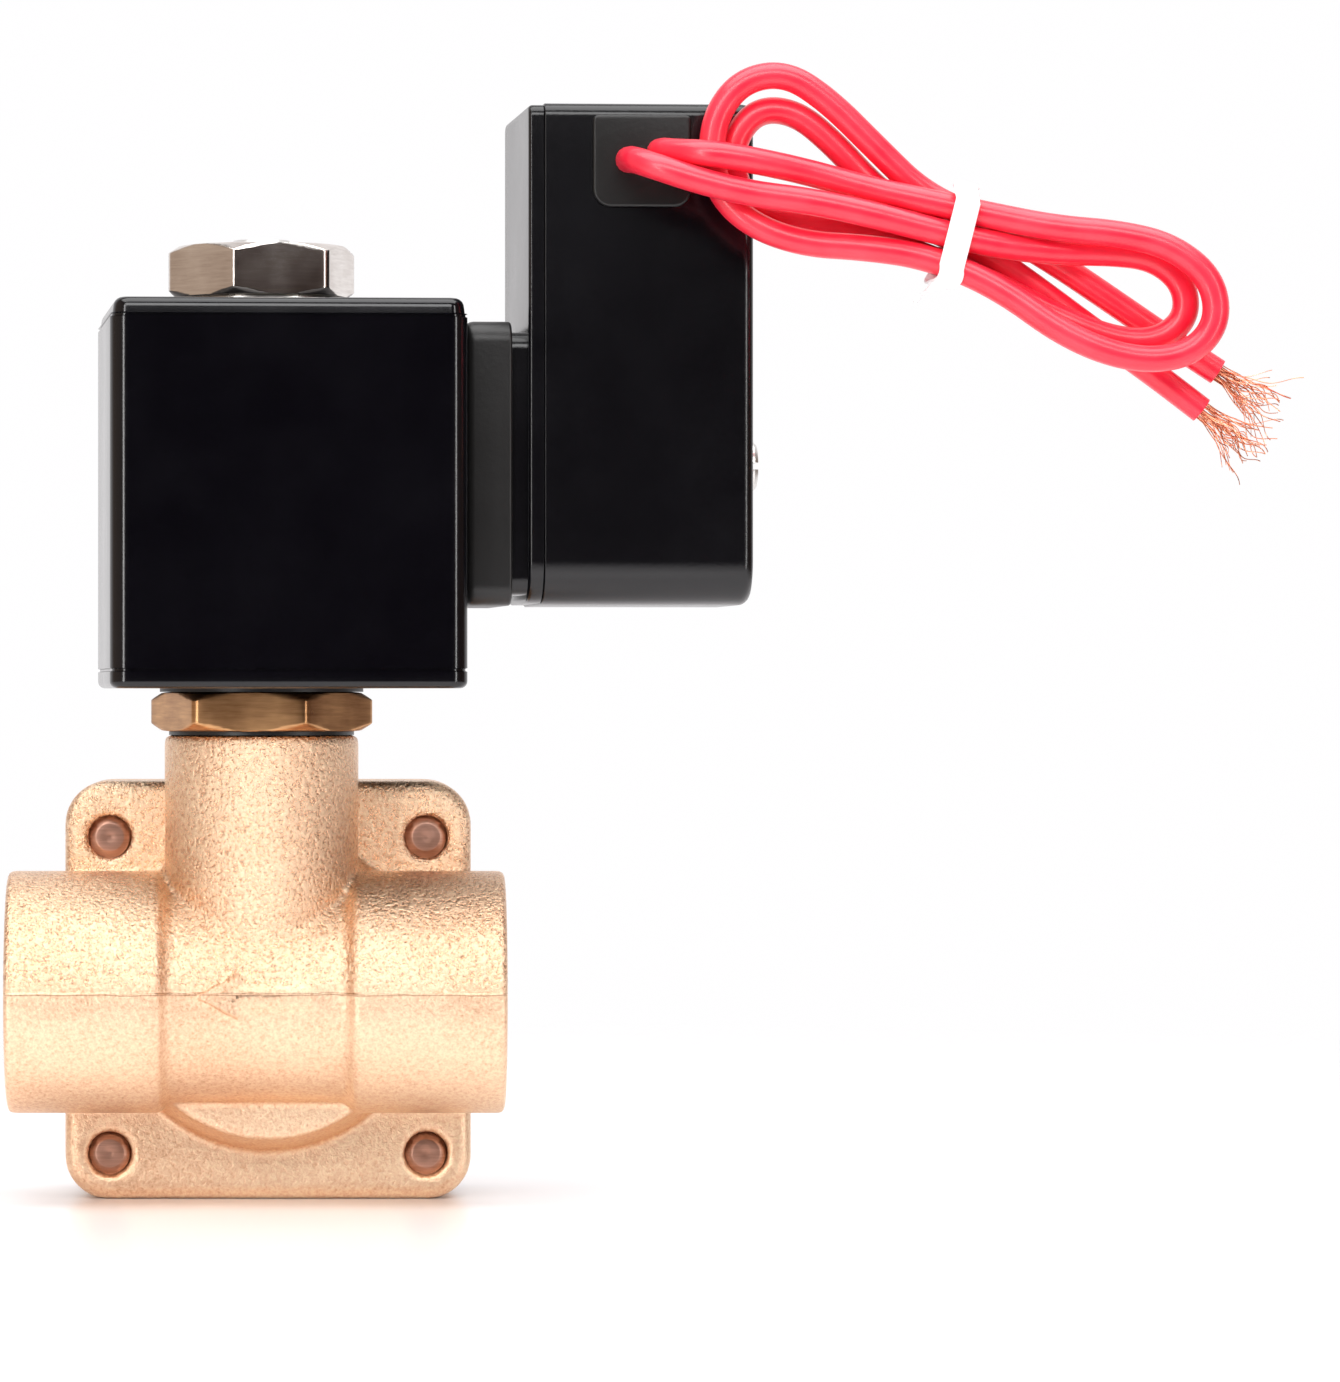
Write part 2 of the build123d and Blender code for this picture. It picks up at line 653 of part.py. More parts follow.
coil_corner_r = 2.0
groove_depth = 0.2
with BuildPart() as coil_housing:
    with BuildSketch(coil_level(coil_z[0])):
        with Locations((mid_coil_x, 0)):
            RectangleRounded(coil_w, 2 * coil_half_y, coil_corner_r)
    extrude(amount=coil_h)
    chamfer(coil_housing.faces().sort_by(Axis.Z)[-1].edges(), 1.0)
    chamfer(coil_housing.faces().sort_by(Axis.Z)[0].edges(), 0.8)
    # A fine groove below and above the side walls, where the moulded caps begin.
    for groove_z in (coil_z[0] + 1.9, coil_z[1] - 2.2):
        with BuildSketch(coil_level(groove_z)):
            with Locations((mid_coil_x, 0)):
                RectangleRounded(coil_w, 2 * coil_half_y, coil_corner_r)
                offset(amount=-groove_depth, mode=Mode.SUBTRACT)
        extrude(amount=0.3, mode=Mode.SUBTRACT)
    # The space that the winding fills, and the wells that the yoke plates sit in.
    with BuildSketch(coil_level(coil_z[0])):
        Rectangle(2 * (window_half_x + frame_gap), 2 * frame_half_y)
    extrude(amount=coil_h, mode=Mode.SUBTRACT)
    with BuildSketch(coil_level(coil_z[0] + 1.0)):
        Circle(16.4)
    extrude(amount=coil_h - 2.0, mode=Mode.SUBTRACT)
    # The well in the connector side, where the terminals stand.
    with BuildSketch(turned(coil_x[1], blade_z)):
        Rectangle(14.0, 21.0)
        Circle(2.6, mode=Mode.SUBTRACT)
    extrude(amount=-blade_foot, mode=Mode.SUBTRACT)
    with BuildSketch(turned(coil_x[1], blade_z)):
        Circle(fixing_r)
    extrude(amount=-5.0, mode=Mode.SUBTRACT)
finish(coil_housing, "coil_housing")

with BuildPart() as coil_yoke:
    with BuildSketch(coil_level(coil_z[0])):
        Rectangle(2 * window_half_x, 2 * frame_half_y - 0.1)
    extrude(amount=coil_h)
    with BuildSketch(coil_level(inner_foot)):
        Rectangle(2 * (window_half_x - frame_wall), 4 * frame_half_y)
    extrude(amount=inner_top - inner_foot, mode=Mode.SUBTRACT)
    with BuildSketch(coil_level(coil_z[0])):
        Circle(bobbin_r)
    extrude(amount=coil_h, mode=Mode.SUBTRACT)
finish(coil_yoke, "coil_yoke")

with BuildPart() as bobbin:
    with BuildSketch(coil_level(inner_foot)):
        Circle(bobbin_r + bobbin_wall)
        Circle(bobbin_r, mode=Mode.SUBTRACT)
    extrude(amount=inner_top - inner_foot)
    with BuildSketch(coil_level(inner_foot)):
        Circle(cheek_r)
        Circle(bobbin_r, mode=Mode.SUBTRACT)
    extrude(amount=cheek_t)
    with BuildSketch(coil_level(inner_top)):
        Circle(cheek_r)
        Circle(bobbin_r, mode=Mode.SUBTRACT)
    extrude(amount=-cheek_t)
finish(bobbin, "bobbin")

with BuildPart() as winding:
    with BuildSketch(coil_level(inner_foot + cheek_t)):
        Circle(cheek_r - 0.3)
        Circle(bobbin_r + bobbin_wall, mode=Mode.SUBTRACT)
    extrude(amount=inner_top - inner_foot - 2 * cheek_t)
finish(winding, "winding")

with BuildPart() as coil_seal:
    with BuildSketch(coil_level(hex_z[1])):
        Circle(11.6)
        Circle(tube_r + 0.3, mode=Mode.SUBTRACT)
    extrude(amount=coil_z[0] - hex_z[1])
finish(coil_seal, "coil_seal")

# ---------------------------------------------------------------- connector, in the coil's own frame
block_window = (17.4, 22.4)  # the opening that the terminal block stands in
plate_corner_r = 2.0
plate_lip = 0.7  # how deep the lead plate's rim is let into the cover
plate_proud = 0.45
with BuildPart() as coil_terminals:
    with BuildSketch(turned(coil_x[1] - blade_foot, blade_z)):
        with Locations(*blade_places):
            Rectangle(0.8, 5.0)
    extrude(amount=blade_end - coil_x[1] + blade_foot)
finish(coil_terminals, "coil_terminals")

with BuildPart() as connector_gasket:
    with BuildSketch(turned(gasket_x[0], (gasket_z[0] + gasket_z[1]) / 2)):
        RectangleRounded(2 * gasket_half_y, gasket_z[1] - gasket_z[0], 2.4)
    extrude(amount=gasket_x[1] - gasket_x[0])
    chamfer(connector_gasket.faces().sort_by(Axis.X)[0].edges(), 1.0)
    with BuildSketch(turned(gasket_x[0], blade_z)):
        RectangleRounded(*block_window, 1.0)
    extrude(amount=gasket_x[1] - gasket_x[0], mode=Mode.SUBTRACT)
finish(connector_gasket, "connector_gasket")

box_mid_z = (box_z[0] + box_z[1]) / 2
box_h = box_z[1] - box_z[0]
end_rim_r = 1.3


def box_outline(inset):
    """The box's section, drawn in the sketch that is open: its lower corners are the rounder ones."""
    Rectangle(2 * (box_half_y - inset), box_h - 2 * inset)
    fillet(vertices().group_by(Axis.Y)[-1], max(box_upper_r - inset, 0.8))
    fillet(vertices().group_by(Axis.Y)[0], box_lower_r - inset)


with BuildPart() as connector_base:
    # The narrow neck that the gasket meets.
    with BuildSketch(turned(gasket_x[1], (gasket_z[0] + gasket_z[1]) / 2)):
        RectangleRounded(2 * gasket_half_y - 1.6, gasket_z[1] - gasket_z[0] - 2.4, 2.0)
    extrude(amount=box_x[0] - gasket_x[1])
    with BuildSketch(turned(box_x[0], box_mid_z)):
        box_outline(0.2)
    extrude(amount=base_end_x - box_x[0])
    with BuildSketch(turned(gasket_x[1], blade_z)):
        RectangleRounded(*block_window, 1.0)
    extrude(amount=base_end_x - gasket_x[1], mode=Mode.SUBTRACT)
finish(connector_base, "connector_base")

with BuildPart() as connector_cover:
    with BuildSketch(turned(base_end_x, box_mid_z)):
        box_outline(0)
    extrude(amount=box_x[1] - base_end_x)
    fillet(connector_cover.faces().sort_by(Axis.X)[-1].edges(), end_rim_r)
    with BuildSketch(turned(base_end_x, box_mid_z)):
        box_outline(box_wall)
    extrude(amount=box_x[1] - base_end_x - box_wall, mode=Mode.SUBTRACT)
    # The opening in the front wall that takes the lead plate.
    with BuildSketch(coil_front(-box_half_y)):
        with Locations((plate_mid_x, plate_mid_z)):
            RectangleRounded(plate_w - 1.6, plate_h - 1.6, 1.2)
    extrude(amount=-box_wall, mode=Mode.SUBTRACT)
    with BuildSketch(coil_front(-box_half_y)):
        with Locations((plate_mid_x, plate_mid_z)):
            RectangleRounded(plate_w, plate_h, plate_corner_r)
    extrude(amount=-plate_lip, mode=Mode.SUBTRACT)
    # The latch tab above the lead plate.
    with BuildSketch(coil_front(-box_half_y - 0.35)):
        with Locations((plate_mid_x, box_z[1] - 0.65)):
            Rectangle(9.0, 1.3)
    extrude(amount=-1.8)
    # The fixing screw's way through the outer wall.
    with BuildSketch(turned(box_x[1], blade_z)):
        Circle(fixing_r + 0.2)
    extrude(amount=-box_wall, mode=Mode.SUBTRACT)
finish(connector_cover, "connector_cover")

lead_holes = [(lead_a_route[0][0], lead_a_route[0][2]), (lead_b_route[0][0], lead_b_route[0][2])]
with BuildPart() as lead_plate:
    with BuildSketch(coil_front(-box_half_y + box_wall)):
        with Locations((plate_mid_x, plate_mid_z)):
            RectangleRounded(plate_w - 1.64, plate_h - 1.64, 1.2)
    extrude(amount=box_wall - plate_lip)
    with BuildSketch(coil_front(-box_half_y + plate_lip)):
        with Locations((plate_mid_x, plate_mid_z)):
            RectangleRounded(plate_w - 0.04, plate_h - 0.04, plate_corner_r)
    extrude(amount=plate_lip + plate_proud)
    with BuildSketch(across(stem_y - 16.0)):
        with Locations(*lead_holes):
            Circle(lead_d / 2 + 0.03)
    extrude(amount=-12.0, mode=Mode.SUBTRACT)
finish(lead_plate, "lead_plate")

block_x = (28.4, 38.0)
contact_gap = 0.4
contact_h = 6.0
contact_cap = 1.0
with BuildPart() as terminal_block:
    with BuildSketch(turned(block_x[0], blade_z)):
        Rectangle(17.0, 21.6)
    extrude(amount=block_x[1] - block_x[0])
    with BuildSketch(turned(block_x[0], blade_z)):
        with Locations(*blade_places):
            Rectangle(2.2, 6.4)
    extrude(amount=8.0, mode=Mode.SUBTRACT)
    with BuildSketch(turned(block_x[0], blade_z)):
        Circle(fixing_r + 0.2)
    extrude(amount=block_x[1] - block_x[0], mode=Mode.SUBTRACT)
    with BuildSketch(turned(block_x[1], blade_z)):
        with Locations(*blade_places):
            Circle(1.32)
    extrude(amount=-4.0, mode=Mode.SUBTRACT)
finish(terminal_block, "terminal_block")

with BuildPart() as contacts:
    with BuildSketch(turned(block_x[0] + contact_gap, blade_z)):
        with Locations(*blade_places):
            Rectangle(2.1, 6.3)
            Rectangle(0.86, 5.1, mode=Mode.SUBTRACT)
    extrude(amount=contact_h)
    with BuildSketch(turned(block_x[0] + contact_gap + contact_h, blade_z)):
        with Locations(*blade_places):
            Rectangle(2.1, 6.3)
    extrude(amount=contact_cap)
finish(contacts, "contacts")

with BuildPart() as terminal_screws:
    with BuildSketch(turned(block_x[0] + 7.5, blade_z)):
        with Locations(*blade_places):
            Circle(1.3)
    extrude(amount=block_x[1] - block_x[0] - 7.5)
    with BuildSketch(turned(block_x[1], blade_z)):
        with Locations(*blade_places):
            Circle(2.0)
    extrude(amount=1.2)
    with BuildSketch(turned(block_x[1] + 1.2, blade_z)):
        with Locations(*blade_places):
            Rectangle(4.0, 0.5)
    extrude(amount=-0.5, mode=Mode.SUBTRACT)
finish(terminal_screws, "terminal_screws")

with BuildPart() as connector_screw:
    with BuildSketch(turned(box_x[1], blade_z)):
        Circle(fixing_head_r)
    extrude(amount=fixing_head_t)
    chamfer(connector_screw.faces().sort_by(Axis.X)[-1].edges(), 0.4)
    with BuildSketch(turned(box_x[1] + fixing_head_t, blade_z)):
        Rectangle(2 * fixing_head_r, 0.8)
    extrude(amount=-0.9, mode=Mode.SUBTRACT)
    with BuildSketch(turned(box_x[1], blade_z)):
        Circle(fixing_r - 0.02)
    extrude(amount=-(box_x[1] - coil_x[1] + 4.8))
finish(connector_screw, "connector_screw")


# ---------------------------------------------------------------- leads, as they hang in a tied hank
def corner_radii(points):
    """The radius of the arc at each corner: 0.45 of the shorter run over the tangent of half the turn."""
    radii = []
    for before, corner, after in zip(points, points[1:], points[2:]):
        run_in = Vector(*corner) - Vector(*before)
        run_out = Vector(*after) - Vector(*corner)
        half_turn = math.radians(run_in.get_angle(run_out)) / 2
        radii.append(0.45 * min(run_in.length, run_out.length) / math.tan(half_turn))
    return radii


for name, route in (("lead_a", lead_a_route), ("lead_b", lead_b_route)):
    radii = corner_radii(route)
    with BuildPart() as lead:
        with BuildLine() as lead_line:
            FilletPolyline(*route, radius=radii)
        with BuildSketch(Plane(origin=lead_line.line @ 0, z_dir=lead_line.line % 0)):
            Circle(lead_d / 2)
        sweep()
    finish(lead, name)
    length = lead_line.wires()[0].length
    share = lead.part.volume / (math.pi * lead_d**2 / 4 * length)
    print(name, f"length {length:.1f} mm, volume over section times length {share:.4f}, radii in mm:")
    print("  " + " ".join(f"{radius:.1f}" for radius in radii))
    # The stripped end: strands that splay out from the insulation.
    with BuildPart() as strands:
        with BuildSketch(Plane(origin=lead_line.line @ 1, z_dir=lead_line.line % 1)):
            Circle(1.0)
        extrude(amount=strand_length, taper=-8)
    finish(strands, name.replace("lead", "strands"))

tie_axis = (math.cos(math.radians(tie_slope)), 0, -math.sin(math.radians(tie_slope)))
tie_start = Vector(*tie_at) - Vector(*tie_axis) * (tie_w / 2)
with BuildPart() as lead_tie:
    with BuildSketch(Plane(origin=tie_start, x_dir=(0, 1, 0), z_dir=tie_axis)):
        RectangleRounded(8.3, 11.9, 2.2)
        RectangleRounded(7.1, 10.7, 1.6, mode=Mode.SUBTRACT)
    extrude(amount=tie_w)
finish(lead_tie, "lead_tie")
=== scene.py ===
# %% [markdown]
# # A brass solenoid valve
# The valve stands on a pale floor with its pipe run across the view. The CAD model is loaded first and is
# the frame for everything: many new pieces take their place from a CAD node's box.
# Metres are used throughout, so a millimetre is `MM`.

# %% Load the frame
import json
import math

import bmesh
import bpy
import numpy as np
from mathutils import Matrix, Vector


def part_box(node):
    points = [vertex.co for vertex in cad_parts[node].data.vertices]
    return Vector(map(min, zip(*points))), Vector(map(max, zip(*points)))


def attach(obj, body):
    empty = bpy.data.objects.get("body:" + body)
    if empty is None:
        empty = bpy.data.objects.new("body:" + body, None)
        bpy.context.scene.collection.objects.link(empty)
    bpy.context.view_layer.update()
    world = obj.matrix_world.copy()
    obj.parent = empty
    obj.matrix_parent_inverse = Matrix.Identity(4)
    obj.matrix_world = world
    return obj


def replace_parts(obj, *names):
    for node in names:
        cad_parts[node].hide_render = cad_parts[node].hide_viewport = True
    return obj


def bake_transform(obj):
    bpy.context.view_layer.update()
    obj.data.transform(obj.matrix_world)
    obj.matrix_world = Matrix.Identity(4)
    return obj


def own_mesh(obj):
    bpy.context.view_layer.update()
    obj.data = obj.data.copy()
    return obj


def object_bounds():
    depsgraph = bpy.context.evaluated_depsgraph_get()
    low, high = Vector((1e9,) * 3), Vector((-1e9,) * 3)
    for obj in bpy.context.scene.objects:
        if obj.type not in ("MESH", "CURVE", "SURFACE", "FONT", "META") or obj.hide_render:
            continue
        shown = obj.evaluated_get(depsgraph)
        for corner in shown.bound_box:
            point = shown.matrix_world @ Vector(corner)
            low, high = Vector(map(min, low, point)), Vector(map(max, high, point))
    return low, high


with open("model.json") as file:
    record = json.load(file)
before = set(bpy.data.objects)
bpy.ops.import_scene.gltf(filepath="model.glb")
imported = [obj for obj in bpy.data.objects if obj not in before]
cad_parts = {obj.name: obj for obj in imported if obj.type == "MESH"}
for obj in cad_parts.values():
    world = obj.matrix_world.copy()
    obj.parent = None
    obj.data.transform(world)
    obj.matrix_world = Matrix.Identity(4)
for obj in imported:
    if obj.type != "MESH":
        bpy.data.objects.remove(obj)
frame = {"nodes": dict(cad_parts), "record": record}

MM = 0.001
cad_low, cad_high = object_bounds()
coil_low, coil_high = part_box("coil_housing")
tube_low, tube_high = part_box("armature_tube")
STEM = np.array([(tube_low[0] + tube_high[0]) / 2, (tube_low[1] + tube_high[1]) / 2, 0.0])
PIPE_Z = frame["record"]["mounts"][0]["pos_m"][2]
COIL_TURN = math.radians(4.0)
print("stem axis", STEM, "pipe height", PIPE_Z)


# %% [markdown]
# ## Shader maths as Python
# A material is easier to read as `0.4 + 0.1 * grain` than as a row of Math nodes. `Wire` wraps one output
# socket and overloads the operators, and `Finish` makes one material and adds any node by type.

# %% Wires and finishes
class Wire:
    """One output socket of a node, usable in expressions: each operator adds a Math node."""

    def __init__(self, board, socket):
        self.board, self.socket = board, socket

    def _math(self, operation, *values):
        return self.board.node("ShaderNodeMath", {"operation": operation}, dict(enumerate(values)))

    def __add__(self, other):
        return self._math("ADD", self, other)

    def __radd__(self, other):
        return self._math("ADD", other, self)

    def __sub__(self, other):
        return self._math("SUBTRACT", self, other)

    def __rsub__(self, other):
        return self._math("SUBTRACT", other, self)

    def __mul__(self, other):
        return self._math("MULTIPLY", self, other)

    def __rmul__(self, other):
        return self._math("MULTIPLY", other, self)

    def __truediv__(self, other):
        return self._math("DIVIDE", self, other)

    def clamp(self):
        return self.board.node("ShaderNodeClamp", {}, {0: self})

    def step(self, low, high):
        """0 below low, 1 above high, smooth between."""
        return self.board.node("ShaderNodeMapRange", {"interpolation_type": "SMOOTHSTEP"},
                                {"Value": self, "From Min": low, "From Max": high})

    def away_from(self, middle):
        """The distance from middle, always positive."""
        return self._math("ABSOLUTE", self - middle)

    def band(self, middle, half):
        """1 at middle, falling to 0 at half away on either side."""
        return 1 - self.away_from(middle).step(0.0, half)


class Board:
    """A node tree that nodes are added to by type: settings first, then the values or links of sockets."""

    def __init__(self, tree):
        self.tree = tree

    def node(self, kind, settings, inputs, out=0):
        made = self.tree.nodes.new(kind)
        for key, value in settings.items():
            if key == "stops":
                ramp = made.color_ramp
                while len(ramp.elements) < len(value):
                    ramp.elements.new(1.0)
                for element, (at, colour) in zip(ramp.elements, value):
                    element.position, element.color = at, (*colour, 1.0)
            else:
                setattr(made, key, value)
        for key, value in inputs.items():
            if isinstance(value, Wire):
                self.tree.links.new(value.socket, made.inputs[key])
            else:
                made.inputs[key].default_value = value
        return Wire(self, made.outputs[out])

    def ramp(self, factor, *stops):
        return self.node("ShaderNodeValToRGB", {"stops": stops}, {"Fac": factor})


class Finish(Board):
    """One material. Constants go straight on the shader's sockets, wires are linked to them."""

    def __init__(self, name, slot="", **constants):
        self.slot = slot
        self.material = bpy.data.materials.new(name)
        self.material.use_nodes = True
        super().__init__(self.material.node_tree)
        self.shader = self.tree.nodes["Principled BSDF"]
        self.place = self.node("ShaderNodeTexCoord", {}, {}, out="Object")
        for socket, value in constants.items():
            self.set(socket.replace("_", " "), value)

    def set(self, socket, value):
        if isinstance(value, Wire):
            self.tree.links.new(value.socket, self.shader.inputs[socket])
        else:
            self.shader.inputs[socket].default_value = value

    def noise(self, scale, detail=2.0, roughness=0.5, stretch=(1, 1, 1)):
        """Fractal noise on the piece's own place, with features about 1/scale metres across."""
        where = self.node("ShaderNodeMapping", {}, {"Vector": self.place, "Scale": stretch})
        return self.node("ShaderNodeTexNoise", {}, {"Vector": where, "Scale": scale, "Detail": detail,
                                                    "Roughness": roughness})

    def axis(self, name):
        return self.node("ShaderNodeSeparateXYZ", {}, {0: self.place}, out=name)

    def bump(self, height, distance, strength=1.0):
        self.set("Normal", self.node("ShaderNodeBump", {}, {"Height": height, "Distance": distance,
                                                           "Strength": strength}))


# %% [markdown]
# ## Surfaces from numpy
# Every new piece is a grid of points worked out as whole arrays. `surface` turns the grid into a mesh:
# it can be closed round either direction, and each open end can be capped with one face.

# %% Grid to mesh
def surface(name, points, body, finish, along=False, caps=()):
    """points[i, j] is a grid: i runs along the piece, j runs round it; caps names "first" and "last"."""
    rows, columns = points.shape[:2]
    index = np.arange(rows * columns).reshape(rows, columns)
    i_here = index if along else index[:-1]
    i_next = np.roll(index, -1, axis=0) if along else index[1:]
    quads = np.stack([i_here, np.roll(i_here, -1, 1), np.roll(i_next, -1, 1), i_next], axis=-1)
    faces = quads.reshape(-1, 4).tolist()
    if "first" in caps:
        faces.append(index[0, ::-1].tolist())
    if "last" in caps:
        faces.append(index[-1].tolist())
    mesh = bpy.data.meshes.new(name)
    mesh.from_pydata(points.reshape(-1, 3).tolist(), [], faces)
    return piece_from(mesh, name, body, finish)


def piece_from(mesh, name, body, finish, smooth=True, sharp_deg=40):
    """Makes one object of a mesh, outward faces checked by its signed volume, and rides it on a body."""
    tidy = bmesh.new()
    tidy.from_mesh(mesh)
    bmesh.ops.remove_doubles(tidy, verts=tidy.verts, dist=1e-7)
    bmesh.ops.recalc_face_normals(tidy, faces=tidy.faces)
    if tidy.calc_volume(signed=True) < 0:
        bmesh.ops.reverse_faces(tidy, faces=tidy.faces)
    tidy.to_mesh(mesh)
    tidy.free()
    piece = bpy.data.objects.new(name, mesh)
    bpy.context.scene.collection.objects.link(piece)
    if smooth:
        mesh.polygons.foreach_set("use_smooth", np.ones(len(mesh.polygons), bool))
        mesh.set_sharp_from_angle(angle=math.radians(sharp_deg))
    mesh.materials.append(finish.material)
    if body:
        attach(piece, body)
    return piece


def rounded_loop(half_a, half_b, radii, shift_a=0.0, shift_b=0.0, steps=7):
    """A rectangle with a rounded corner in each quadrant: four quarter circles joined by straight sides."""
    radii = np.broadcast_to(np.asarray(radii, float), 4)
    quarter = np.linspace(0, math.pi / 2, steps)
    parts = []
    for k, (sa, sb) in enumerate(((1, 1), (-1, 1), (-1, -1), (1, -1))):
        angle = quarter + k * math.pi / 2
        r = max(radii[k], 1e-6)
        parts.append(np.stack([sa * (half_a - r) + r * np.cos(angle) + shift_a,
                               sb * (half_b - r) + r * np.sin(angle) + shift_b], axis=1))
    return np.concatenate(parts)


def own_to_row(points):
    """From the coil's own axes, which start on the stem axis, to the row's: a turn about the stem."""
    c, s = math.cos(COIL_TURN), math.sin(COIL_TURN)
    x, y, z = points[..., 0], points[..., 1], points[..., 2]
    return np.stack([c * x - s * y, s * x + c * y, z], axis=-1) + STEM


# %% [markdown]
# ## Finishes
# Cast brass is blasted with fine beads before it leaves the foundry, so it has a sparkling grain a few
# tenths of a millimetre across, under a slow drift from yellow to peach. Turned brass is smooth and darker.

# %% Metals
def cast_brass(name, parted_with_painted_reflection):
    """A parted casting shows its mould's seam at the pipe axis; below it, it is smoother and painted lighter
    as floor reflection.
    """
    finish = Finish(name, "cast_brass", Metallic=1.0)
    grain = finish.noise(2100, 3.0, 0.65)
    specks = finish.noise(3600, 2.0, 0.5)
    drift = finish.noise(45, 2.0)
    tone = grain * 0.5 + specks * 0.25 + drift * 0.25
    shade, height = 0.36 + 0.26 * (grain - 0.5), (grain + 0.5 * specks) * 0.9
    if parted_with_painted_reflection:
        above_seam = finish.axis("Z").step(PIPE_Z - 1.5 * MM, PIPE_Z + 2.0 * MM)
        wander = 0.35 * MM * (finish.noise(260, 2.0) - 0.5)
        seam = (finish.axis("Z") + wander).band(PIPE_Z + 0.3 * MM, 0.22 * MM)
        # Painted reflection: below the seam the colour moves a little lighter, standing in for the floor that
        # the lower half mirrors.
        tone = tone + 0.03 * (1 - above_seam)
        shade = shade + 0.06 - 0.14 * above_seam
        height = height * (0.5 + 0.94 * above_seam) + 1.2 * seam
    finish.set("Base Color", finish.ramp(tone.clamp(), (0.34, (0.60, 0.33, 0.19)), (0.47, (0.84, 0.55, 0.36)),
                                         (0.62, (0.96, 0.74, 0.52))))
    finish.set("Roughness", shade.clamp())
    finish.bump(height, 0.20 * MM, 1.0)
    return finish


def turned_metal(name, slot, dark, light, rough, scale=900, bump=0.01):
    finish = Finish(name, slot, Metallic=1.0)
    lines = finish.noise(scale, 3.0, 0.6, stretch=(0.25, 0.25, 3.0))
    smudge = finish.noise(160, 3.0)
    finish.set("Base Color", finish.ramp((lines * 0.4 + smudge * 0.6).clamp(), (0.35, dark), (0.65, light)))
    finish.set("Roughness", (rough + 0.16 * smudge).clamp())
    finish.bump(lines, bump * MM)
    return finish


def plastic(name, slot, colour, rough, grain_mm, bump_mm):
    finish = Finish(name, slot)
    grain = finish.noise(1000 / grain_mm, 2.0)
    scuffs = finish.noise(120, 4.0, 0.6)
    pale = tuple(min(1.0, c * 1.25 + 0.001) for c in colour)
    finish.set("Base Color", finish.ramp(scuffs, (0.35, colour), (0.8, pale)))
    finish.set("Roughness", (rough + 0.06 * (scuffs - 0.5) + 0.04 * grain).clamp())
    finish.bump(grain, bump_mm * MM, 0.6)
    return finish


BRASS = cast_brass("cast_brass", True)
COVER_BRASS = cast_brass("cast_brass_cover", False)
HEX_BRASS = turned_metal("turned_brass", "turned_brass", (0.30, 0.14, 0.06), (0.64, 0.36, 0.17), 0.22)
CUT_BRASS = turned_metal("cut_brass", "turned_brass", (0.62, 0.36, 0.18), (0.90, 0.64, 0.38), 0.20)
NICKEL = turned_metal("nickel_plate", "nickel", (0.62, 0.56, 0.52), (0.88, 0.84, 0.80), 0.10)
STEEL = turned_metal("screw_steel", "steel", (0.30, 0.15, 0.10), (0.58, 0.33, 0.25), 0.30)
STAINLESS = turned_metal("stainless", "stainless", (0.58, 0.57, 0.55), (0.78, 0.77, 0.75), 0.22)
COPPER = turned_metal("copper_wire", "copper", (0.62, 0.19, 0.09), (0.93, 0.42, 0.27), 0.25)
COIL_BLACK = plastic("coil_black", "coil_plastic", (0.0010, 0.0010, 0.0022), 0.13, 0.5, 0.004)
BOX_BLACK = plastic("box_black", "box_plastic", (0.0012, 0.0012, 0.0022), 0.19, 0.35, 0.014)
RUBBER = plastic("gasket_rubber", "gasket_rubber", (0.0040, 0.0036, 0.0036), 0.36, 0.5, 0.03)
NYLON = plastic("nylon", "nylon", (0.70, 0.68, 0.62), 0.4, 0.6, 0.01)
WHITE = plastic("tie_white", "tie_plastic", (0.86, 0.86, 0.88), 0.3, 0.8, 0.01)
YOKE = plastic("yoke_black", "yoke_steel", (0.02, 0.02, 0.022), 0.4, 0.4, 0.02)


# %% [markdown]
# Silicone leads are a bright, slightly waxy red. Their shine is even, with a faint print of the extruder
# along them, so the noise is slow and shallow.

# %% Silicone
def silicone():
    finish = Finish("lead_silicone", "lead_silicone", Coat_Weight=0.4, Coat_Roughness=0.2,
                    Specular_IOR_Level=0.5)
    cloud = finish.noise(220, 2.0)
    finish.set("Base Color", finish.ramp(cloud, (0.3, (0.84, 0.010, 0.042)), (0.75, (0.98, 0.035, 0.070))))
    finish.set("Roughness", (0.30 + 0.15 * cloud).clamp())
    finish.bump(finish.noise(1500, 2.0), 0.012 * MM, 0.5)
    return finish


RED = silicone()

CAD_FINISH = {
    "tube_base": HEX_BRASS, "pilot_seat": HEX_BRASS, "seal_holder": HEX_BRASS, "contacts": HEX_BRASS,
    "cover_screws": STEEL, "spring_washers": STEEL, "nut_washer": STAINLESS, "connector_screw": STAINLESS,
    "terminal_screws": STAINLESS, "armature_tube": STAINLESS, "fixed_core": STAINLESS, "plunger": STAINLESS,
    "plunger_spring": STAINLESS, "diaphragm_spring": STAINLESS, "diaphragm_plate": STAINLESS,
    "top_nut": NICKEL, "coil_terminals": STAINLESS, "shading_ring": COPPER, "winding": COPPER,
    "coil_yoke": YOKE, "bobbin": NYLON, "terminal_block": NYLON, "coil_seal": RUBBER, "diaphragm": RUBBER,
    "duct_seal": RUBBER, "base_seal": RUBBER, "main_seal": RUBBER, "plunger_seal": RUBBER,
    "connector_gasket": RUBBER, "lead_plate": RUBBER, "coil_housing": COIL_BLACK, "connector_base": BOX_BLACK,
    "connector_cover": BOX_BLACK, "valve_body": BRASS, "diaphragm_cover": COVER_BRASS,
}
for node, finish in CAD_FINISH.items():
    slots = frame["nodes"][node].data.materials
    slots.clear()
    slots.append(finish.material)
print("finishes on", len(CAD_FINISH), "nodes")
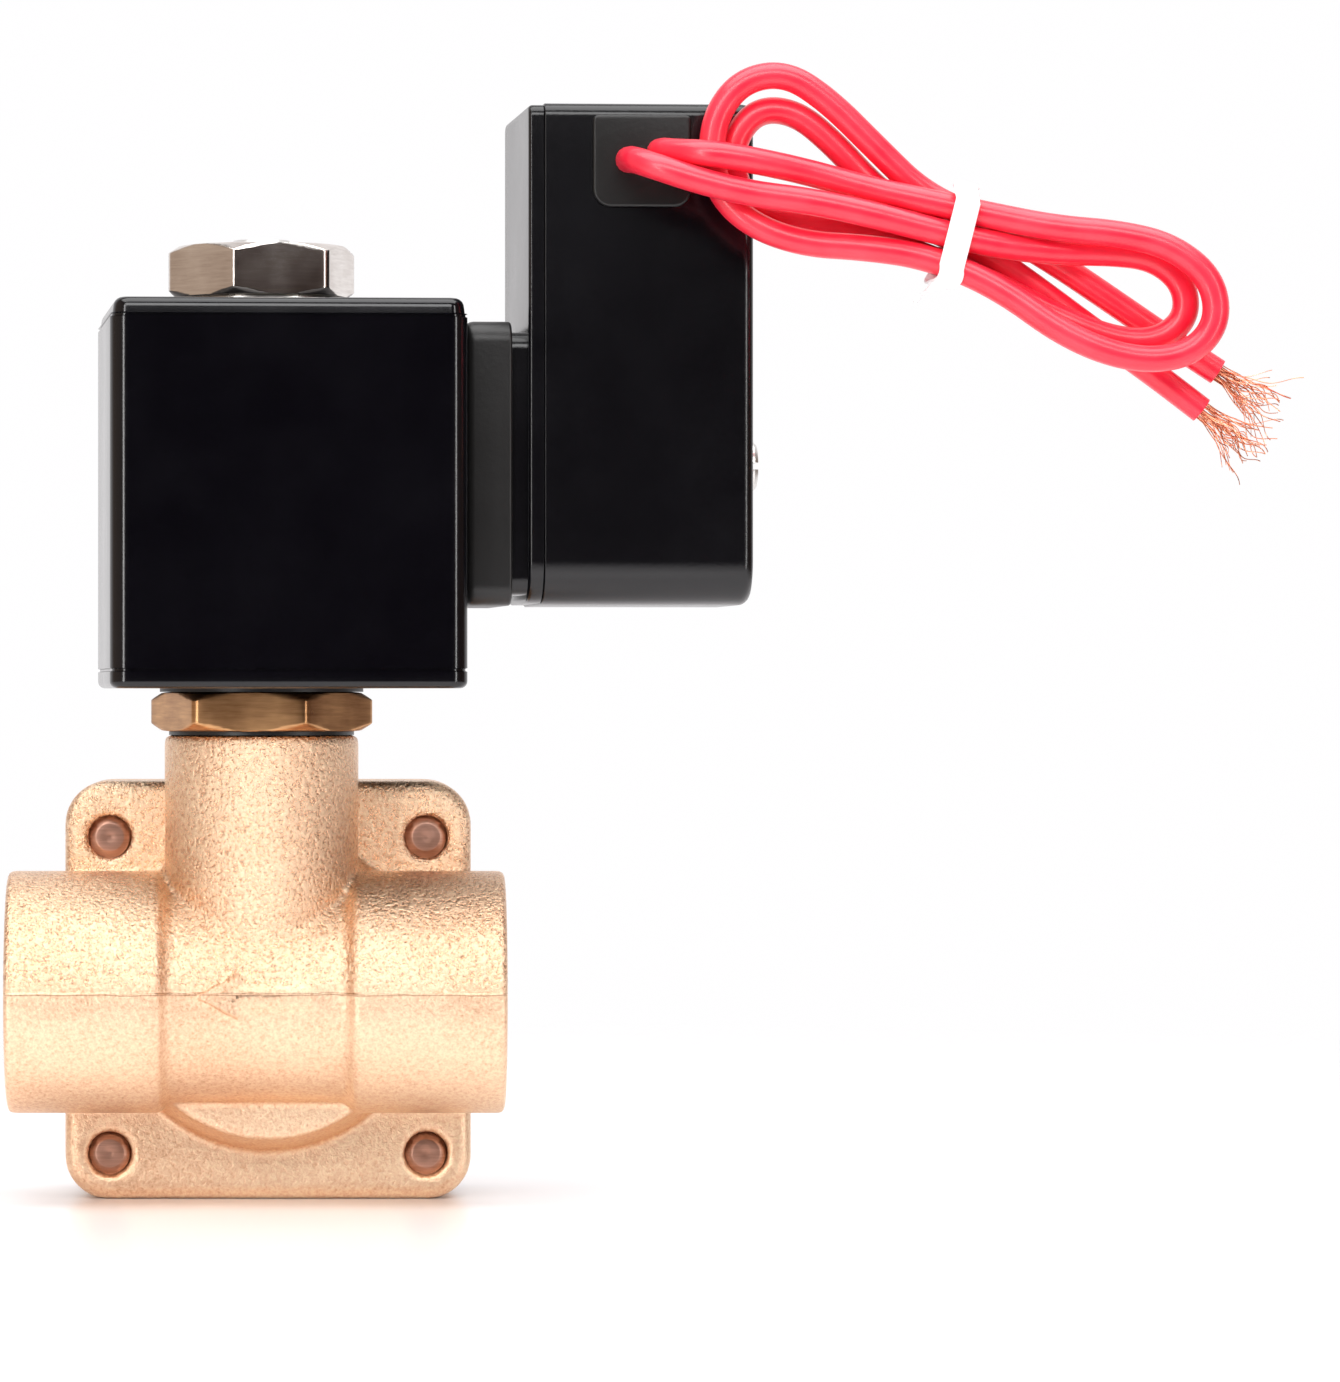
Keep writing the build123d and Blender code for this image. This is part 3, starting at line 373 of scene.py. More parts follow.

# %% [markdown]
# ## Leads
# Two silicone leads leave the rubber plate, run through a tie, round a loop, back through the tie, round a
# second loop and out again. Each is one NURBS curve through listed control points, so it bends like a
# cord and never like bent wire.

# %% The two leads
LEAD_A = [
    (41.2, -18.4, 118.0), (41.2, -23.3, 118.0), (43.4, -26.6, 117.0), (48.5, -27.4, 115.2),
    (54.5, -27.4, 113.7), (60.9, -27.5, 112.9), (67.6, -27.3, 111.5), (73.9, -26.7, 109.9),
    (81.4, -26.4, 108.1), (88.6, -25.3, 107.3), (94.9, -24.9, 107.3), (99.8, -24.9, 106.7),
    (103.2, -24.9, 103.9), (103.5, -25.0, 100.0), (100.4, -25.1, 97.4), (95.6, -25.3, 97.4),
    (89.1, -25.6, 99.9), (81.8, -24.0, 104.0), (74.0, -23.1, 107.2), (67.5, -22.3, 109.4),
    (62.0, -21.9, 110.7), (57.6, -21.9, 111.4), (54.4, -21.9, 113.1), (52.9, -21.9, 116.6),
    (53.2, -21.9, 120.6), (55.9, -21.9, 123.6), (60.1, -21.8, 123.2), (64.2, -21.7, 119.8),
    (68.6, -21.8, 115.0), (74.0, -23.0, 110.5), (81.1, -22.6, 107.5), (87.3, -21.4, 103.3),
    (94.1, -21.5, 98.2), (100.2, -21.5, 94.0), (105.6, -21.5, 89.8)]
LEAD_B = [
    (44.7, -18.1, 118.9), (44.7, -22.3, 118.9), (46.4, -24.9, 118.5), (50.0, -27.3, 118.2),
    (55.2, -27.0, 117.4), (61.2, -25.5, 116.2), (67.6, -25.1, 114.4), (73.9, -26.0, 113.0),
    (81.4, -26.5, 111.3), (88.6, -27.6, 109.8), (95.6, -28.1, 109.2), (101.4, -28.1, 107.8),
    (105.9, -28.1, 104.2), (106.6, -28.1, 99.2), (103.3, -28.1, 95.6), (97.2, -28.4, 95.0),
    (89.8, -28.6, 97.6), (82.0, -27.2, 103.5), (74.2, -26.3, 106.8), (67.2, -25.9, 107.8),
    (60.8, -25.5, 108.2), (55.3, -25.0, 110.1), (51.6, -24.1, 113.4), (50.3, -23.8, 118.0),
    (51.0, -23.6, 123.0), (54.0, -23.5, 126.7), (58.8, -23.5, 127.5), (63.6, -23.3, 124.4),
    (69.0, -23.3, 119.0), (74.2, -23.2, 113.9), (81.4, -23.0, 110.8), (88.8, -21.9, 106.6),
    (95.8, -21.5, 101.9), (101.9, -21.5, 97.7), (107.4, -21.5, 94.1)]
LEAD_D = 3.0 * MM


def lead_curve(name, route):
    """A clamped quadratic NURBS curve with a round section."""
    curve = bpy.data.curves.new(name, "CURVE")
    curve.dimensions = "3D"
    curve.bevel_depth = LEAD_D / 2
    curve.bevel_resolution = 6
    curve.use_fill_caps = True
    curve.resolution_u = 10
    spline = curve.splines.new("NURBS")
    spline.points.add(len(route) - 1)
    points = np.ones((len(route), 4))
    points[:, :3] = np.array(route) * MM
    spline.points.foreach_set("co", points.ravel())
    spline.order_u = 3
    spline.use_endpoint_u = True
    lead = bpy.data.objects.new(name, curve)
    bpy.context.scene.collection.objects.link(lead)
    curve.materials.append(RED.material)
    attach(lead, "coil")
    return lead


def centre_line(lead):
    """The points down the middle of a lead, read from the curve with no bevel."""
    bare = bpy.data.objects.new("bare", lead.data.copy())
    bare.data.bevel_depth = 0.0
    bare.data.use_fill_caps = False
    mesh = bpy.data.meshes.new_from_object(bare)
    line = np.zeros(len(mesh.vertices) * 3)
    mesh.vertices.foreach_get("co", line)
    bpy.data.meshes.remove(mesh)
    bpy.data.curves.remove(bare.data)
    return line.reshape(-1, 3)


lead_a = lead_curve("lead_red_a", LEAD_A)
lead_b = lead_curve("lead_red_b", LEAD_B)
line_a, line_b = centre_line(lead_a), centre_line(lead_b)

# %% [markdown]
# The stripped ends are strands of fine copper that splay out and curl. All strands of one end are one mesh:
# each strand is a thin tube on a curve that starts along the lead and drifts away from it, and the drift
# grows with the square of the way along.

# %% Bare strands
STRANDS, STRAND_R, STRAND_LENGTH = 40, 0.065 * MM, 9.6 * MM


def bare_strands(name, line, seed, node):
    """Centre line: start + t * ahead + t^2 * sideways + curl * sin; round it, a five-sided tube."""
    draw = np.random.default_rng(seed)
    end = line[-1]
    ahead = (line[-1] - line[-3]) / np.linalg.norm(line[-1] - line[-3])
    side = np.cross(ahead, (0, 1, 0))
    side /= np.linalg.norm(side)
    up = np.cross(side, ahead)
    angle = draw.uniform(0, 2 * math.pi, STRANDS)
    out = np.cos(angle)[:, None] * side + np.sin(angle)[:, None] * up
    radius = 1.05 * MM * np.sqrt(draw.uniform(0.02, 1, STRANDS))
    splay = draw.uniform(-0.1, 0.62, STRANDS)
    reach = STRAND_LENGTH * draw.uniform(0.55, 1.0, STRANDS)
    phase, turns = draw.uniform(0, 6.3, STRANDS), draw.uniform(0.8, 2.2, STRANDS)
    t = np.linspace(0, 1, 30)
    curl = 0.85 * MM * (t**1.5)[None, :] * np.sin(phase[:, None] + 6.3 * turns[:, None] * t[None, :])
    across = np.cross(out, ahead)
    middle = (end - ahead * 0.6 * MM + radius[:, None, None] * out[:, None, :]
              + (reach[:, None] * t)[..., None] * ahead
              + (reach[:, None] * splay[:, None] * t**2)[..., None] * out[:, None, :]
              + curl[..., None] * across[:, None, :])
    ring = np.linspace(0, 2 * math.pi, 5, endpoint=False)
    tube = middle[:, :, None, :] + STRAND_R * (np.cos(ring)[None, None, :, None] * out[:, None, None, :]
                                               + np.sin(ring)[None, None, :, None] * across[:, None, None, :])
    count, rows, sides = tube.shape[:3]
    index = np.arange(count * rows * sides).reshape(count, rows, sides)
    quads = np.stack([index[:, :-1], np.roll(index, -1, 2)[:, :-1], np.roll(index, -1, 2)[:, 1:],
                      index[:, 1:]], axis=-1).reshape(-1, 4).tolist()
    ends = index[:, 0, ::-1].tolist() + index[:, -1].tolist()
    mesh = bpy.data.meshes.new(name)
    mesh.from_pydata(tube.reshape(-1, 3).tolist(), [], quads + ends)
    strands = piece_from(mesh, name, "coil", COPPER)
    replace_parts(strands, node)
    return strands


strands_a = bare_strands("bare_strands_a", line_a, 3, "strands_a")
strands_b = bare_strands("bare_strands_b", line_b, 8, "strands_b")

# %% [markdown]
# The tie is a white plastic band pulled round the six strands. Its section is a flat rounded strip; the loop
# it follows is a rounded rectangle that pinches a little between the strands. A short tail hangs from it.

# %% Tie
tie_low, tie_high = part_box("lead_tie")
TIE_AT = (np.array(tie_low) + np.array(tie_high)) / 2
TIE_SLOPE = math.radians(15)
TIE_ALONG = np.array([math.cos(TIE_SLOPE), 0, -math.sin(TIE_SLOPE)])
TIE_UP = np.array([math.sin(TIE_SLOPE), 0, math.cos(TIE_SLOPE)])


def tie_band():
    """Round the loop j, across the strip i: the strip's section is a stretched superellipse."""
    loop = rounded_loop(3.85 * MM, 5.65 * MM, 1.9 * MM, steps=12)
    middle = loop.mean(axis=0)
    outward = (loop - middle) / np.linalg.norm(loop - middle, axis=1, keepdims=True)
    lap = np.linspace(0, 2 * math.pi, len(loop), endpoint=False)
    section = np.linspace(0, 2 * math.pi, 14, endpoint=False)
    wide = 1.4 * MM * np.sign(np.cos(section)) * np.abs(np.cos(section)) ** 0.6
    thick = 0.33 * MM * np.sign(np.sin(section)) * np.abs(np.sin(section)) ** 0.7
    wave = 0.45 * MM * np.sin(2 * lap + 0.6)
    flat = loop[None] + thick[:, None, None] * outward[None]
    shift = wide[:, None] + wave[None]
    points = (TIE_AT + flat[..., :1] * np.array([0, 1, 0]) + flat[..., 1:] * TIE_UP
              + shift[..., None] * TIE_ALONG)
    return surface("tie_band", points, "coil", WHITE, along=True)


def tie_tail():
    """A strip that leaves the band's lower edge, twists once and hangs a little to the left."""
    t = np.linspace(0, 1, 14)
    start = TIE_AT - TIE_UP * 5.2 * MM - np.array([0, 2.4, 0]) * MM
    middle = start + np.stack([-3.4 * t * MM, -0.8 * t * MM, (-1.9 * t - 0.5 * t**2) * MM], axis=1)
    twist = 0.5 + 1.3 * t
    ring = np.linspace(0, 2 * math.pi, 10, endpoint=False)
    width, thick = 0.9 * MM * (1 - 0.35 * t), 0.22 * MM
    face = np.stack([np.sin(twist), np.cos(twist), 0 * t], axis=1)
    other = np.cross(face, (-0.8, -0.2, -0.55))
    other /= np.linalg.norm(other, axis=1, keepdims=True)
    points = (middle[:, None] + (width[:, None] * np.cos(ring))[..., None] * other[:, None]
              + (thick * np.sin(ring))[None, :, None] * face[:, None])
    return surface("tie_tail", points, "coil", WHITE, caps=("first", "last"))


band, tail = tie_band(), tie_tail()
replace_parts(band, "lead_tie")
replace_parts(lead_a, "lead_a")
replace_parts(lead_b, "lead_b")

# %% [markdown]
# ## Brass casting
# A casting has no crisp corners: each edge and each valley is rounded by the sand. The body is a copy of the
# CAD solid, re-meshed in even cells (0.42 mm on the body, 0.6 mm on the cover) and relaxed twice,
# which rounds both alike.

# %% Body and cover
def cast_copy(name, node, cell, passes, finish, body="root"):
    """A voxel copy of a CAD node; each pass moves every point half-way to the mean of its neighbours."""
    copy = frame["nodes"][node].data.copy()
    copy.name = name
    piece = piece_from(copy, name, body, finish, smooth=False)
    remesh = piece.modifiers.new("even_cells", "REMESH")
    remesh.mode, remesh.voxel_size, remesh.adaptivity = "VOXEL", cell, 0.0
    relax = piece.modifiers.new("relax", "SMOOTH")
    relax.factor, relax.iterations = 0.5, passes
    baked = bpy.data.meshes.new_from_object(piece.evaluated_get(bpy.context.evaluated_depsgraph_get()))
    piece.modifiers.clear()
    piece.data = baked
    baked.polygons.foreach_set("use_smooth", np.ones(len(baked.polygons), bool))
    baked.materials.clear()
    baked.materials.append(finish.material)
    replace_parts(piece, node)
    print(name, len(baked.polygons), "faces")
    return piece


cast_copy("body_casting", "valve_body", 0.42 * MM, 2, BRASS)
cast_copy("cover_casting", "diaphragm_cover", 0.6 * MM, 2, COVER_BRASS)

# %% [markdown]
# A flow arrow stands a third of a millimetre proud of the pipe. The cells above are too coarse to keep its
# edges, so it is a piece of its own: a flat plate with a drafted edge, sunk a little into the casting.

# %% Flow arrow
ARROW_FACE = STEM[1] - 12.92 * MM
ARROW_TIP, ARROW_NECK, ARROW_TAIL = -7.1 * MM, -2.6 * MM, 5.6 * MM


def flow_arrow():
    """Half-height along x: a straight slope from the tip to the neck, then constant; bevelled section."""
    head = np.linspace(ARROW_TIP, ARROW_NECK, 12)
    bar = np.linspace(ARROW_NECK, ARROW_TAIL, 12)
    x = np.concatenate([head, bar])
    half = np.concatenate([0.24 * MM + 2.16 * MM * (head - ARROW_TIP) / (ARROW_NECK - ARROW_TIP),
                           np.full(12, 1.15 * MM)])
    spread = np.array([0.34, 0.22, -0.20, 0.20, -0.22, -0.34]) * MM
    side = np.array([1, 1, 1, -1, -1, -1])
    depth = np.array([1.0, 0.35, 0.0, 0.0, 0.35, 1.0]) * MM
    z = PIPE_Z + side * half[:, None] + spread
    points = np.stack([np.broadcast_to(x[:, None], z.shape), np.broadcast_to(ARROW_FACE + depth, z.shape), z],
                      axis=-1)
    return surface("flow_arrow", points, "root", BRASS, caps=("first", "last"))


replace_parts(flow_arrow(), "valve_body")

# %% [markdown]
# ## Pipe threads
# Each port has a G1/2 thread: 14 turns to the inch, 1.16 mm deep. The thread is a sleeve in the bore whose
# inner wall is a helix: its radius swings between the crest and the root once for each pitch of advance.

# %% Threads
PITCH, ROOT_R, CREST_R = 1.814 * MM, 10.44 * MM, 9.35 * MM


def port_thread(name, mouth_x, inwards):
    """Inner radius: crest + depth * |triangle wave of (advance / pitch - turn)|, fading at the mouth."""
    turn = np.linspace(0, 2 * math.pi, 96, endpoint=False)
    advance = np.linspace(0.3, 12.2, 120) * MM
    cycle = (advance[:, None] / PITCH - turn[None] / (2 * math.pi)) % 1.0
    wave = np.clip(np.abs(2 * cycle - 1) * 1.25 - 0.125, 0, 1)
    lead_in = np.clip(1 - (advance - 0.3 * MM) / (1.3 * MM), 0, 1)[:, None]
    inner = CREST_R + (ROOT_R - CREST_R) * np.maximum(wave, lead_in)
    outer = np.full((2, len(turn)), ROOT_R + 0.03 * MM)
    radius = np.concatenate([inner, outer[::-1]])
    along = np.concatenate([advance, advance[[-1, 0]]])
    x = np.broadcast_to((mouth_x + inwards * along)[:, None], radius.shape)
    y = STEM[1] + radius * np.cos(turn)
    z = PIPE_Z + radius * np.sin(turn)
    return surface(name, np.stack([x, y, z], axis=-1), "root", CUT_BRASS, along=True)


for mount in frame["record"]["mounts"][:2]:
    port_thread("thread_" + mount["name"], mount["pos_m"][0], -mount["axis"][0])

# %% [markdown]
# ## Moulded housings
# A moulded box is a stack of rounded rectangles. Where the box has a rounded rim the stack's rectangles
# shrink along a quarter circle, so the rim is a true round and catches a thin line of light.

# %% Stacks
def rounded_loops(half_a, half_b, radius, middle=(0.0, 0.0), steps=8):
    """One rounded rectangle per row: each quarter is its corner's centre + radius * (cos, sin)."""
    half_a, half_b = np.asarray(half_a)[:, None, None], np.asarray(half_b)[:, None, None]
    radius = radius[:, :, None]
    quarter = np.linspace(0, math.pi / 2, steps)[None] + np.arange(4)[:, None] * math.pi / 2
    side_a, side_b = np.array([1, -1, -1, 1])[:, None], np.array([1, 1, -1, -1])[:, None]
    a = side_a * (half_a - radius) + radius * np.cos(quarter) + middle[0]
    b = side_b * (half_b - radius) + radius * np.sin(quarter) + middle[1]
    return a.reshape(len(half_a), -1), b.reshape(len(half_b), -1)


def rim(height, inset, radius, rising, steps=6):
    """(height, inset) pairs on a quarter circle: from a flat end out to the wall, or back to a flat end."""
    angle = np.linspace(0, math.pi / 2, steps)
    toward = radius * (1 - np.sin(angle))
    away = radius * (1 - np.cos(angle))
    if rising:
        return np.stack([height + away, inset + toward], axis=1)
    return np.stack([height - away, inset + toward], axis=1)[::-1]


def stack(name, pairs, halves, corners, place, finish, middle=(0.0, 0.0), well=None):
    """Each (height, inset) pair is one loop of the stack. A well of (half, half) makes it a tube instead."""
    pairs = np.concatenate([np.atleast_2d(p) for p in pairs])
    inset = pairs[:, 1]
    corners = np.broadcast_to(np.asarray(corners, float), 4)
    radius = np.maximum(corners[None] - inset[:, None], 0.12 * MM)
    a, b = rounded_loops(halves[0] - inset, halves[1] - inset, radius, middle)
    height = np.broadcast_to(pairs[:, :1], a.shape)
    if well is None:
        return surface(name, place(a, b, height), "coil", finish, caps=("first", "last"))
    ends = np.array([pairs[-1, 0], pairs[0, 0]])
    inner_a, inner_b = rounded_loops(np.full(2, well[0]), np.full(2, well[1]), np.full((2, 4), 0.1 * MM))
    points = [np.concatenate([a, inner_a]), np.concatenate([b, inner_b]),
              np.concatenate([height, np.broadcast_to(ends[:, None], inner_a.shape)])]
    return surface(name, place(*points), "coil", finish, along=True)


def upright(a, b, height):
    """The stack rises: a is the coil's own x and b its own y."""
    return own_to_row(np.stack([a, b, height], axis=-1))


def sideways(a, b, height):
    """The stack runs along the coil's own x: a is its own y and b is up."""
    return own_to_row(np.stack([height, a, b], axis=-1))


def forwards(a, b, height):
    """The stack comes towards the front: a is the coil's own x, b is up, and height is minus its own y."""
    return own_to_row(np.stack([a, -height, b], axis=-1))


# %% [markdown]
# The coil is overmoulded: a thin cap shows above and below a fine groove, and the metal frame is flush with
# the top. Its walls are glossy, so the groove and the rims do all the drawing.

# %% Coil shell
COIL_FOOT, COIL_TOP = coil_low[2], coil_high[2]
GROOVE_DEPTH, GROOVE_STEPS = 0.22 * MM, np.array([0.0, 0.1, 0.3, 0.4]) * MM


def groove(height):
    """A flat-bottomed groove: the wall steps in by GROOVE_DEPTH and out again."""
    return np.stack([height + GROOVE_STEPS, GROOVE_DEPTH * np.array([0, 1, 1, 0])], axis=1)


coil_pairs = [rim(COIL_FOOT, 0.0, 0.8 * MM, True), groove(COIL_FOOT + 1.85 * MM),
              groove(COIL_TOP - 2.2 * MM), [(COIL_TOP - 1.72 * MM, 0.30 * MM)],
              rim(COIL_TOP, 0.38 * MM, 1.1 * MM, False)]
coil_shell = stack("coil_shell", coil_pairs, (20 * MM, 19 * MM), 2.2 * MM, upright, COIL_BLACK,
                   middle=(2.0 * MM, 0.0), well=(14.61 * MM, 13.0 * MM))
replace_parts(coil_shell, "coil_housing")
print("coil shell", len(coil_shell.data.polygons), "faces")

# %% [markdown]
# The connector box is three mouldings: a rubber gasket against the coil, a base with a narrow neck, and a
# deep cover. The cover's lower edges are rounded far more than the upper ones.

# %% Connector mouldings
PLUG_Z, PLUG_HALF = 83.9 * MM, np.array([13.5, 16.0]) * MM
BOX_Z, BOX_HALF = 96.2 * MM, np.array([14.0, 28.2]) * MM

gasket = stack("gasket_ring", [rim(22.0 * MM, 0.0, 1.2 * MM, True), rim(27.4 * MM, 0.0, 0.35 * MM, False)],
               PLUG_HALF, 2.4 * MM, sideways, RUBBER, middle=(0.0, PLUG_Z))
neck = stack("base_neck", [(27.4 * MM, 0.0), (29.2 * MM, 0.0)], PLUG_HALF - 0.8 * MM - np.array([0,
                                                                                                 0.4 * MM]),
             2.0 * MM, sideways, BOX_BLACK, middle=(0.0, PLUG_Z))
flange = stack("base_plate", [rim(29.2 * MM, 0.2 * MM, 0.5 * MM, True), rim(30.98 * MM, 0.2 * MM, 0.12 * MM,
                                                                            False)],
               BOX_HALF, (1.5 * MM, 1.5 * MM, 5.0 * MM, 5.0 * MM), sideways, BOX_BLACK, middle=(0.0, BOX_Z))
cover = stack("cover_shell", [[(52.9 * MM, 1.8 * MM), (31.0 * MM, 1.8 * MM)], rim(31.0 * MM, 0.0, 0.15 * MM,
                                                                                  True),
                              rim(54.7 * MM, 0.0, 1.3 * MM, False)],
              BOX_HALF, (1.5 * MM, 1.5 * MM, 5.0 * MM, 5.0 * MM), sideways, BOX_BLACK, middle=(0.0, BOX_Z))
plate = stack("lead_plate_face", [(13.6 * MM, 0.0), rim(14.5 * MM, 0.0, 0.3 * MM, False)],
              (5.55 * MM, 5.15 * MM), (0.6 * MM, 0.6 * MM, 2.0 * MM, 2.0 * MM), forwards, RUBBER,
              middle=(41.95 * MM, 117.85 * MM))
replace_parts(gasket, "connector_gasket")
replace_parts(neck, "connector_base")
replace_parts(flange, "connector_base")
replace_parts(cover, "connector_cover")
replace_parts(plate, "lead_plate")

# %% [markdown]
# ## Hexagons
# A machined hexagon is a prism whose corners are cut by a cone, which leaves the curved chamfer lines of
# every nut. So its radius is the smaller of two: the hexagon's at that angle and the cone's at that height.

# %% Hexagons
FLAT_SPREAD = np.concatenate([[-30, -29, -27.5], np.linspace(-25, 25, 11), [27.5, 29]])


def hexagon(name, low, high, across_flats, turn_deg, bore, finish, top_cut, foot_cut):
    """radius = min(flat / cos(angle from the flat's middle), cone(height)), with a round bore through it."""
    flat = across_flats / 2
    angle = (np.arange(6)[:, None] * 60 + FLAT_SPREAD[None]).ravel()
    reach = np.minimum(flat / np.cos(np.radians(np.tile(FLAT_SPREAD, 6))),
                       flat / math.cos(math.pi / 6) - 0.15 * MM)
    drop = np.concatenate([[0.0, 0.06, 0.14], np.linspace(0.25, 1.7, 13)]) * MM
    cone = flat + np.array([-0.9, -0.25, 0.0] + [0.0] * 13) * MM + drop / math.tan(math.radians(32))
    top = np.minimum(reach[None], (cone - top_cut)[:, None])
    foot = np.minimum(reach[None], (cone - foot_cut)[:, None])
    radius = np.concatenate([foot, top[::-1], np.full((2, len(angle)), bore)])
    height = np.concatenate([low + drop, high - drop[::-1], [high, low]])
    turned = np.radians(angle + turn_deg)
    points = np.stack([STEM[0] + radius * np.cos(turned), STEM[1] + radius * np.sin(turned),
                       np.broadcast_to(height[:, None], radius.shape)], axis=-1)
    return surface(name, points, "root", finish, along=True)


hex_low, hex_high = 53.7 * MM, 58.2 * MM
nut_low, nut_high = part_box("top_nut")
nut = hexagon("nut_top", nut_low[2], nut_high[2], 19 * MM, 43.5, 3.75 * MM, NICKEL, 0.2 * MM, -0.1 * MM)
base_hex = hexagon("stem_hexagon", hex_low, hex_high, 22.2 * MM, 23.5, 6.6 * MM, HEX_BRASS, -0.1 * MM,
                   -0.1 * MM)
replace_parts(nut, "top_nut")


# %% [markdown]
# Turned parts are lathed: a profile of (radius, place along the axis) is carried round a full turn. A row
# marked as a socket follows a small hexagon instead of a circle, which gives a screw its key hole.

# %% Lathe
def lathe(name, profile, centre, axis, body, finish, columns=64, pitch=0.0, depth=0.0, close=False):
    """profile rows are (radius, along, kind): kind 0 is round, 1 a hexagonal socket, 2 a screw thread."""
    profile = np.asarray(profile, float)
    radius, along, kind = profile[:, :1], profile[:, 1:2], profile[:, 2:]
    turn = np.linspace(0, 2 * math.pi, columns, endpoint=False)[None]
    six = np.abs((turn + math.pi / 6) % (math.pi / 3) - math.pi / 6)
    wave = np.abs(2 * ((along / pitch - turn / (2 * math.pi)) % 1.0) - 1) if pitch else 0.0
    reach = np.where(kind == 1, radius / np.cos(six), radius - np.where(kind == 2, depth * wave, 0.0))
    frames = {"x": (1, 2, 0), "y": (2, 0, 1), "z": (0, 1, 2)}[axis]
    points = np.zeros((*reach.shape, 3))
    points[..., frames[0]] = reach * np.cos(turn)
    points[..., frames[1]] = reach * np.sin(turn)
    points[..., frames[2]] = along
    return surface(name, points + np.asarray(centre), body, finish, along=close)


collar = lathe("stem_collar", [(7.48 * MM, 47.8 * MM, 0), (7.48 * MM, 53.0 * MM, 0), (8.6 * MM, 53.31 * MM,
                                                                                      0),
                               (8.6 * MM, 53.75 * MM, 0), (6.6 * MM, 53.75 * MM, 0), (6.6 * MM, 47.8 * MM,
                                                                                      0)],
               STEM, "z", "root", HEX_BRASS, close=True)
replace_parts(base_hex, "tube_base")
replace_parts(collar, "tube_base")
washer = lathe("nut_washer_disc", [(4.0 * MM, 102.2 * MM, 0), (8.85 * MM, 102.2 * MM, 0), (9.0 * MM,
                                                                                           102.35 * MM, 0),
                                   (9.0 * MM, 102.85 * MM, 0), (8.85 * MM, 103.0 * MM, 0), (4.0 * MM,
                                                                                            103.0 * MM, 0)],
               STEM, "z", "root", STAINLESS, close=True)
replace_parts(washer, "nut_washer")

# %% [markdown]
# Four M5 socket screws hold the cover. Their thread ends show in front as copper-brown discs with a bright
# chamfer, and their heads sit on split washers behind.

# %% Cover screws
screw_low, screw_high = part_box("cover_screws")
SCREW_Y, HEAD_TOP = screw_low[1], screw_high[1]
HEAD_R = 4.2 * MM
SCREW_XZ = [(x, z) for x in (screw_low[0] + HEAD_R, screw_high[0] - HEAD_R)
            for z in (screw_low[2] + HEAD_R, screw_high[2] - HEAD_R)]
thread_rows = [(2.48 * MM, SCREW_Y + 0.5 * MM + step * 0.1 * MM, 2) for step in range(90)]
head_rows = [(2.48 * MM, HEAD_TOP - 5.5 * MM, 0), (2.48 * MM, HEAD_TOP - 4.6 * MM, 0), (4.1 * MM,
                                                                                        HEAD_TOP - 4.6 * MM,
                                                                                        0),
             (4.2 * MM, HEAD_TOP - 4.5 * MM, 0), (4.2 * MM, HEAD_TOP - 0.5 * MM, 0), (4.05 * MM,
                                                                                      HEAD_TOP - 0.15 * MM,
                                                                                      0),
             (3.75 * MM, HEAD_TOP, 0), (2.35 * MM, HEAD_TOP, 0), (2.0 * MM, HEAD_TOP - 0.25 * MM, 1),
             (2.0 * MM, HEAD_TOP - 2.4 * MM, 1), (0.0, HEAD_TOP - 3.0 * MM, 0)]
end_rows = [(0.0, SCREW_Y + 0.12 * MM, 0), (0.35 * MM, SCREW_Y + 0.02 * MM, 0), (1.55 * MM, SCREW_Y, 0),
            (1.68 * MM, SCREW_Y + 0.03 * MM, 0), (2.15 * MM, SCREW_Y + 0.42 * MM, 0)]
for place, (x, z) in enumerate(SCREW_XZ):
    screw = lathe(f"cover_screw_{place}", end_rows + thread_rows + head_rows, (x, 0, z), "y", "root", STEEL,
                  columns=48, pitch=0.8 * MM, depth=0.45 * MM)
    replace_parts(screw, "cover_screws")


def split_washer(name, x, z, seat):
    """A flat bar carried round 350 degrees while it climbs a little, so its cut ends stand apart."""
    turn = np.radians(np.linspace(5, 355, 60))[:, None]
    bar = np.array([(2.65, 0.05), (2.6, 0.5), (2.65, 1.0), (4.0, 1.0), (4.1, 0.9), (4.1, 0.15), (4.0,
                                                                                                 0.05)]) * MM
    climb = 0.12 * MM * (turn / math.pi - 1)
    radius = np.broadcast_to(bar[None, :, 0], (60, 7))
    points = np.stack([x + radius * np.cos(turn), np.broadcast_to(seat + bar[None, :, 1] + climb, (60, 7)),
                       z + radius * np.sin(turn)], axis=-1)
    return surface(name, points, "root", STAINLESS, caps=("first", "last"))


washer_low, washer_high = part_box("spring_washers")
for place, (x, z) in enumerate(SCREW_XZ):
    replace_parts(split_washer(f"split_washer_{place}", x, z, washer_low[1] + 0.1 * MM), "spring_washers")
print("four screws and four split washers")

# %% [markdown]
# Two springs work inside: one pushes the plunger down on the pilot, the other pushes the disc on its seat.
# Each is coiled wire with a dead turn at either end, and shortens when its joint moves.

